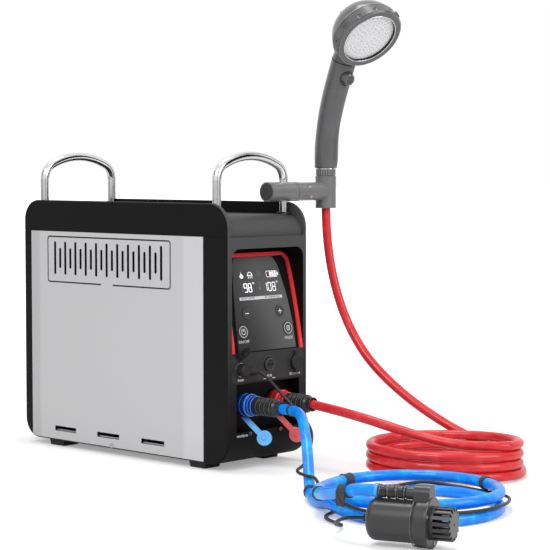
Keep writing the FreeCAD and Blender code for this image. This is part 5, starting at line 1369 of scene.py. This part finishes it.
class TrimHolder(bpy.types.Operator):
    """Seam, screws and knurling of the shower holder and its nut"""
    bl_idname = "heater.holder"
    bl_label = "Holder trim"

    def execute(self, context):
        dark = moulded("holder_shadow", (0.03, 0.03, 0.03), 0.5)
        holder = made("holder_plastic")
        fit(ridge_ring("clamp_seam", 11.68, 0.7, 0.1), arm_at(73.0), dark, "holder_clamp")
        screws = [arm_side(x, 11.0, turn, (1, 0, 0)) for x, turn in ((93.4, 30.0), (96.0, -34.0))]
        fit(spread(cross_screw("clamp_screw", 1.9), screws, "clamp_screws"), None,
            made("brushed_steel"), "holder_socket")
        fit(block("arm_line", (9.5, 0.5, 0.2)), arm_side(87.2, 11.14, -24), dark, "holder_socket")
        fit(ridge_ring("end_rim", 10.0, 0.5, 1.2), arm_at(27.5, (-1, 0, 0)), holder,
            "holder_clamp")
        fit(disc("end_cap", 9.8, 0.3, 48, 0.1), arm_at(27.6, (-1, 0, 0)),
            moulded("holder_end", (0.060, 0.060, 0.062), 0.4), "holder_clamp")
        ribs = [riser_at(345.3) @ outward_face(15 * number, 11.45) for number in range(24)]
        fit(spread(block("nut_rib", (1.1, 7.8, 0.6), 0.3, 0.1), ribs, "nut_ribs"), None,
            moulded("nut_rib_grey", (0.24, 0.24, 0.245), 0.28, 0.01, coat=0.4), "hose_nut")
        fit(ridge_ring("nut_rim", 11.55, 1.1, 0.4), riser_at(349.4),
            metal("nut_chrome", (0.75, 0.75, 0.76), 0.15), "hose_nut")
        fit(ridge_ring("sleeve_rim", 12.55, 1.2, 0.4), riser_at(339.2), holder, "holder_socket")
        return {"FINISHED"}


class TrimShower(bpy.types.Operator):
    """Nozzles, seams, button ribs and lever of the hand shower"""
    bl_idname = "heater.rose"
    bl_label = "Hand shower trim"

    def execute(self, context):
        plastic, plate = made("shower_plastic"), made("spray_plastic")
        self.nozzles()
        button = REACH_WAY * 0.907 + Vector((0, 0, -0.421))
        button_face = frame_at(shower_spot(28.2, 464.6) + button * 21.55, button)
        rib = block("button_rib", (8.6, 0.8, 0.6), 0.3, 0.1, cushion=True)
        ribs = [button_face @ moved(0, y) @ Matrix.Scale(1 - abs(y) * 0.10, 4, (1, 0, 0))
                for y in (-4.0, -2.0, 0, 2.0, 4.0)]
        fit(spread(rib, ribs, "button_ribs"), None, plastic, "stop_button")
        neck = REACH_WAY * 0.45 + Vector((0, 0, 0.893))
        back = REACH_WAY * -0.893 + Vector((0, 0, 0.45))
        for piece, place, material, slot in (
                (disc("spray_face", 33.2, 3.1, 96, 0.6), spray_at(-6.1), plate, "spray_plate"),
                (disc("plate_hub", 5.6, 0.6, 48, 0.3), spray_at(-3.1), plate, "spray_plate"),
                # A dark glossy ring on the bezel's inner wall: painted shade where that wall lies
                # in shadow.
                (ridge_ring("bezel_throat", 33.45, 2.6, 0.3, 96), spray_at(-1.6),
                 moulded("throat_black", (0.006, 0.006, 0.006), 0.2, 0.01, coat=0.6),
                 "spray_bezel"),
                (ridge_ring("dome_seam", 40.78, 0.6, 0.3, 96), spray_at(-16.2),
                 glow("seam_light", (0.42, 0.42, 0.43), 0.0), "shower_head"),
                (block("bezel_lever", (4.0, 9.0, 4.0), 1.2, 0.5), spray_at(-8.2, 53.0, 42.4),
                 plastic, "spray_bezel"),
                (ring("bezel_lip", 34.6, 33.6, 0.5, 96, 0.15), spray_at(-0.2),
                 metal("rose_chrome", (0.70, 0.70, 0.71), 0.2), "spray_bezel"),
                (ring("bezel_edge", 41.0, 40.5, 0.15, 96), spray_at(0.0),
                 glow("bezel_line", (0.24, 0.24, 0.245), 0.0), "spray_bezel"),
                (ridge_ring("neck_seam", 14.82, 0.7, 0.3),
                 frame_at(shower_spot(35.7, 479.7) + neck * 0.4, neck, (0, 1, 0)),
                 made("holder_shadow"), "shower_handle"),
                (ridge_ring("grip_foot", 13.35, 1.6, 0.5), riser_at(352.6), plastic,
                 "shower_handle"),
                (block("neck_latch", (6.4, 8.0, 2.4), 1.6, 0.6, cushion=True),
                 frame_at(shower_spot(34.0, 476.0) + back * 13.9, back), plastic,
                 "shower_handle")):
            fit(piece, place, material, slot)
        return {"FINISHED"}

    def nozzles(self):
        """Rings of soft nozzles on the spray plate."""
        bpy.ops.mesh.primitive_cone_add(vertices=10, radius1=0.95 * MM, radius2=0.7 * MM,
                                        depth=0.8 * MM, location=(0, 0, 0.4 * MM))
        seed = fresh("nozzle")
        settle()
        outset(seed, facing_up, 0.28 * MM)
        drawn_up(-0.3 * MM)
        done()
        soften(seed, 40)
        places = [spray_at(-3.05, 360.0 / count * (number + row / 9.6), row)
                  for row, count in ((9.6, 10), (14.4, 16), (19.2, 22), (24.0, 28), (28.8, 34))
                  for number in range(count)]
        fit(spread(seed, places, "spray_nozzles"), None,
            rubbery("nozzle_silicone", (0.70, 0.70, 0.71), 0.5), "spray_plate")


class TrimPump(bpy.types.Operator):
    """Ribs, windows, gland and clip of the pump"""
    bl_idname = "heater.pump"
    bl_label = "Pump trim"

    def execute(self, context):
        rim = moulded("pump_rim", (0.075, 0.075, 0.077), 0.25, 0.01, coat=0.5)
        for name, along, radius in (("barrel_seam", -55.2, 19.55), ("collar_rim", -15.6, 22.7),
                                    ("flange_rim", -0.9, 23.3)):
            fit(ridge_ring(name, radius, 0.9, 0.4, 72), pump_at(along), rim, "pump_collar")
        grips = [pump_at(-8.6) @ outward_face(turn, 22.6) for turn in range(-140, -39, 20)]
        grip = block("collar_grip", (2.2, 12.0, 0.9), 0.7, 0.2, cushion=True)
        fit(spread(grip, grips, "collar_grips"), None, made("pump_plastic"), "pump_collar")
        windows = []
        for along in (-47.4, -39.2, -31.0):
            for side in (-1, 1):
                way = Vector((PUMP_WAY.y, -PUMP_WAY.x, 0)) * side
                spot = PUMP_SPOT + PUMP_WAY * along + PIPE_RISE
                windows.append(frame_at(spot + way * 5.75, way))
        # The windows are thin dark blocks on the pipe's sides: painted shade that stands for its
        # openings.
        fit(spread(block("pipe_window", (4.8, 6.2, 0.3), 0.6), windows, "pipe_windows"), None,
            made("holder_shadow"), "pump_collar")
        ribs = [put(ridge_ring("pipe_rib_%d" % number, 5.9, 1.5, 0.8), pipe_at(along))
                for number, along in enumerate((-51.5, -43.3, -35.1, -26.9))]
        fit(joined(ribs, "pipe_ribs"), None, rim, "pump_collar")
        fit(ridge_ring("outlet_clip", 6.1, 3.4, 0.9), pipe_at(-55.2),
            moulded("clip_blue", (0.05, 0.38, 0.90), 0.3, 0.02, coat=0.3))
        fit(ridge_ring("cable_gland", 1.9, 7.5, 1.9, 32), pump_at(-64.6), made("cap_rubber"),
            "pump_body")
        screws = [pump_at(-0.3, turn, 19.6) for turn in (35, 155, 275)]
        fit(spread(cross_screw("pump_screw", 1.7), screws, "pump_screws"), None,
            made("brushed_steel"), "pump_collar")
        return {"FINISHED"}


class TrimCase(bpy.types.Operator):
    """Screws, grommets, gas thread and small fittings of the case"""
    bl_idname = "heater.fittings"
    bl_label = "Case fittings"

    def execute(self, context):
        steel = made("brushed_steel")
        legs = [upright_at((x, y, 296.0)) for x in (-LEG_X, LEG_X) for y in (-LEG_Y, LEG_Y)]
        rear = [rear_at(x, z) for x in (-58.0, 58.0) for z in (24.0, 150.0, 262.0)]
        studs = [frame_at((side * 67.5, 17.0, 11.4), (side, 0, 0)) for side in (-1, 1)]
        for seed, places, name, material, slot in (
                (ring("grommet", 8.2, 5.4, 2.2, 48, 0.6), legs, "leg_grommets",
                 made("foot_rubber"), "top_cap"),
                (cross_screw("rear_screw", span("screw_radius") / MM), rear, "rear_screws", steel,
                 "rear_cover"),
                (disc("panel_stud", 2.8, 1.2, 32, 0.5), studs, "panel_studs", steel, "base_pan")):
            fit(spread(seed, places, name), None, material, slot)
        thread = [put(ridge_ring("thread_%d" % number, 7.84, 0.6, 0.32, 44),
                      rear_at(0, 58.0, 4.6 + 1.6 * number)) for number in range(8)]
        fit(joined(thread, "gas_thread"), None, made("machined_brass"), "gas_inlet")
        fit(lettering("gas_caption", "GAS", 5.0), rear_at(0, 80.0, 0.1), made("port_ink"),
            "rear_cover")
        wire = gauze_wire("guard_gauze")
        sheet = block("gauze", (222, 58, 0.4), 3, cushion=True)
        for name, way in (("left_gauze", -1), ("right_gauze", 1)):
            fit(copied(sheet, name), frame_at((way * 63.2, 25.0, 236.4), (way, 0, 0)), wire,
                "exhaust_hood")
        bpy.data.objects.remove(sheet)
        self.console_corners()
        return {"FINISHED"}

    def console_corners(self):
        """Rounded inner corners at the top of the console opening."""
        size, deep = 12.5 * MM, 24 * MM
        bpy.ops.mesh.primitive_cube_add(size=1, location=(-size / 2, deep / 2, -size / 2),
                                        scale=(size, deep, size))
        corner = fresh("corner")
        settle()
        bpy.ops.mesh.primitive_cylinder_add(vertices=72, radius=size, depth=deep * 2,
                                            location=(-size, 0, -size),
                                            rotation=(math.pi / 2, 0, 0))
        cutter = fresh("cutter")
        settle()
        cut(corner, cutter)
        soften(corner, 30)
        places = [moved(60.85, -181.97, 257.55), moved(-60.85, -181.97, 257.55) @ turned(-90, "Y")]
        fit(spread(corner, places, "console_corners"), None, made("case_plastic"), "front_housing")


class HeaterPanel(bpy.types.Panel):
    """Lists the pieces of the heater"""
    bl_idname = "VIEW3D_PT_heater"
    bl_label = "Water Heater"
    bl_space_type = "VIEW_3D"
    bl_region_type = "UI"
    bl_category = "Water Heater"

    def draw(self, context):
        for piece in PIECES:
            self.layout.operator(piece.bl_idname)
        for group in (context.scene.heater_colours, context.scene.heater_sizes):
            for key in group.__annotations__:
                self.layout.prop(group, key)


PIECES = (MakeStage, MakeHoses, PaintCase, PaintConsole, PaintShower, PrintConsole, FitKeys,
          PrintPorts, TrimCouplers, TrimHolder, TrimShower, TrimPump, TrimCase)
CLASSES = (HeaterColours, HeaterSizes, *PIECES, HeaterPanel)


def register():
    """Add the classes and the settings."""
    for entry in CLASSES:
        bpy.utils.register_class(entry)
    bpy.types.Scene.heater_colours = bpy.props.PointerProperty(type=HeaterColours)
    bpy.types.Scene.heater_sizes = bpy.props.PointerProperty(type=HeaterSizes)


def unregister():
    """Take the classes and the settings away."""
    del bpy.types.Scene.heater_sizes
    del bpy.types.Scene.heater_colours
    for entry in reversed(CLASSES):
        bpy.utils.unregister_class(entry)


def main():
    """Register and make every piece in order."""
    register()
    for piece in PIECES:
        group, name = piece.bl_idname.split(".")
        getattr(getattr(bpy.ops, group), name)()


if __name__ == "__main__":
    main()
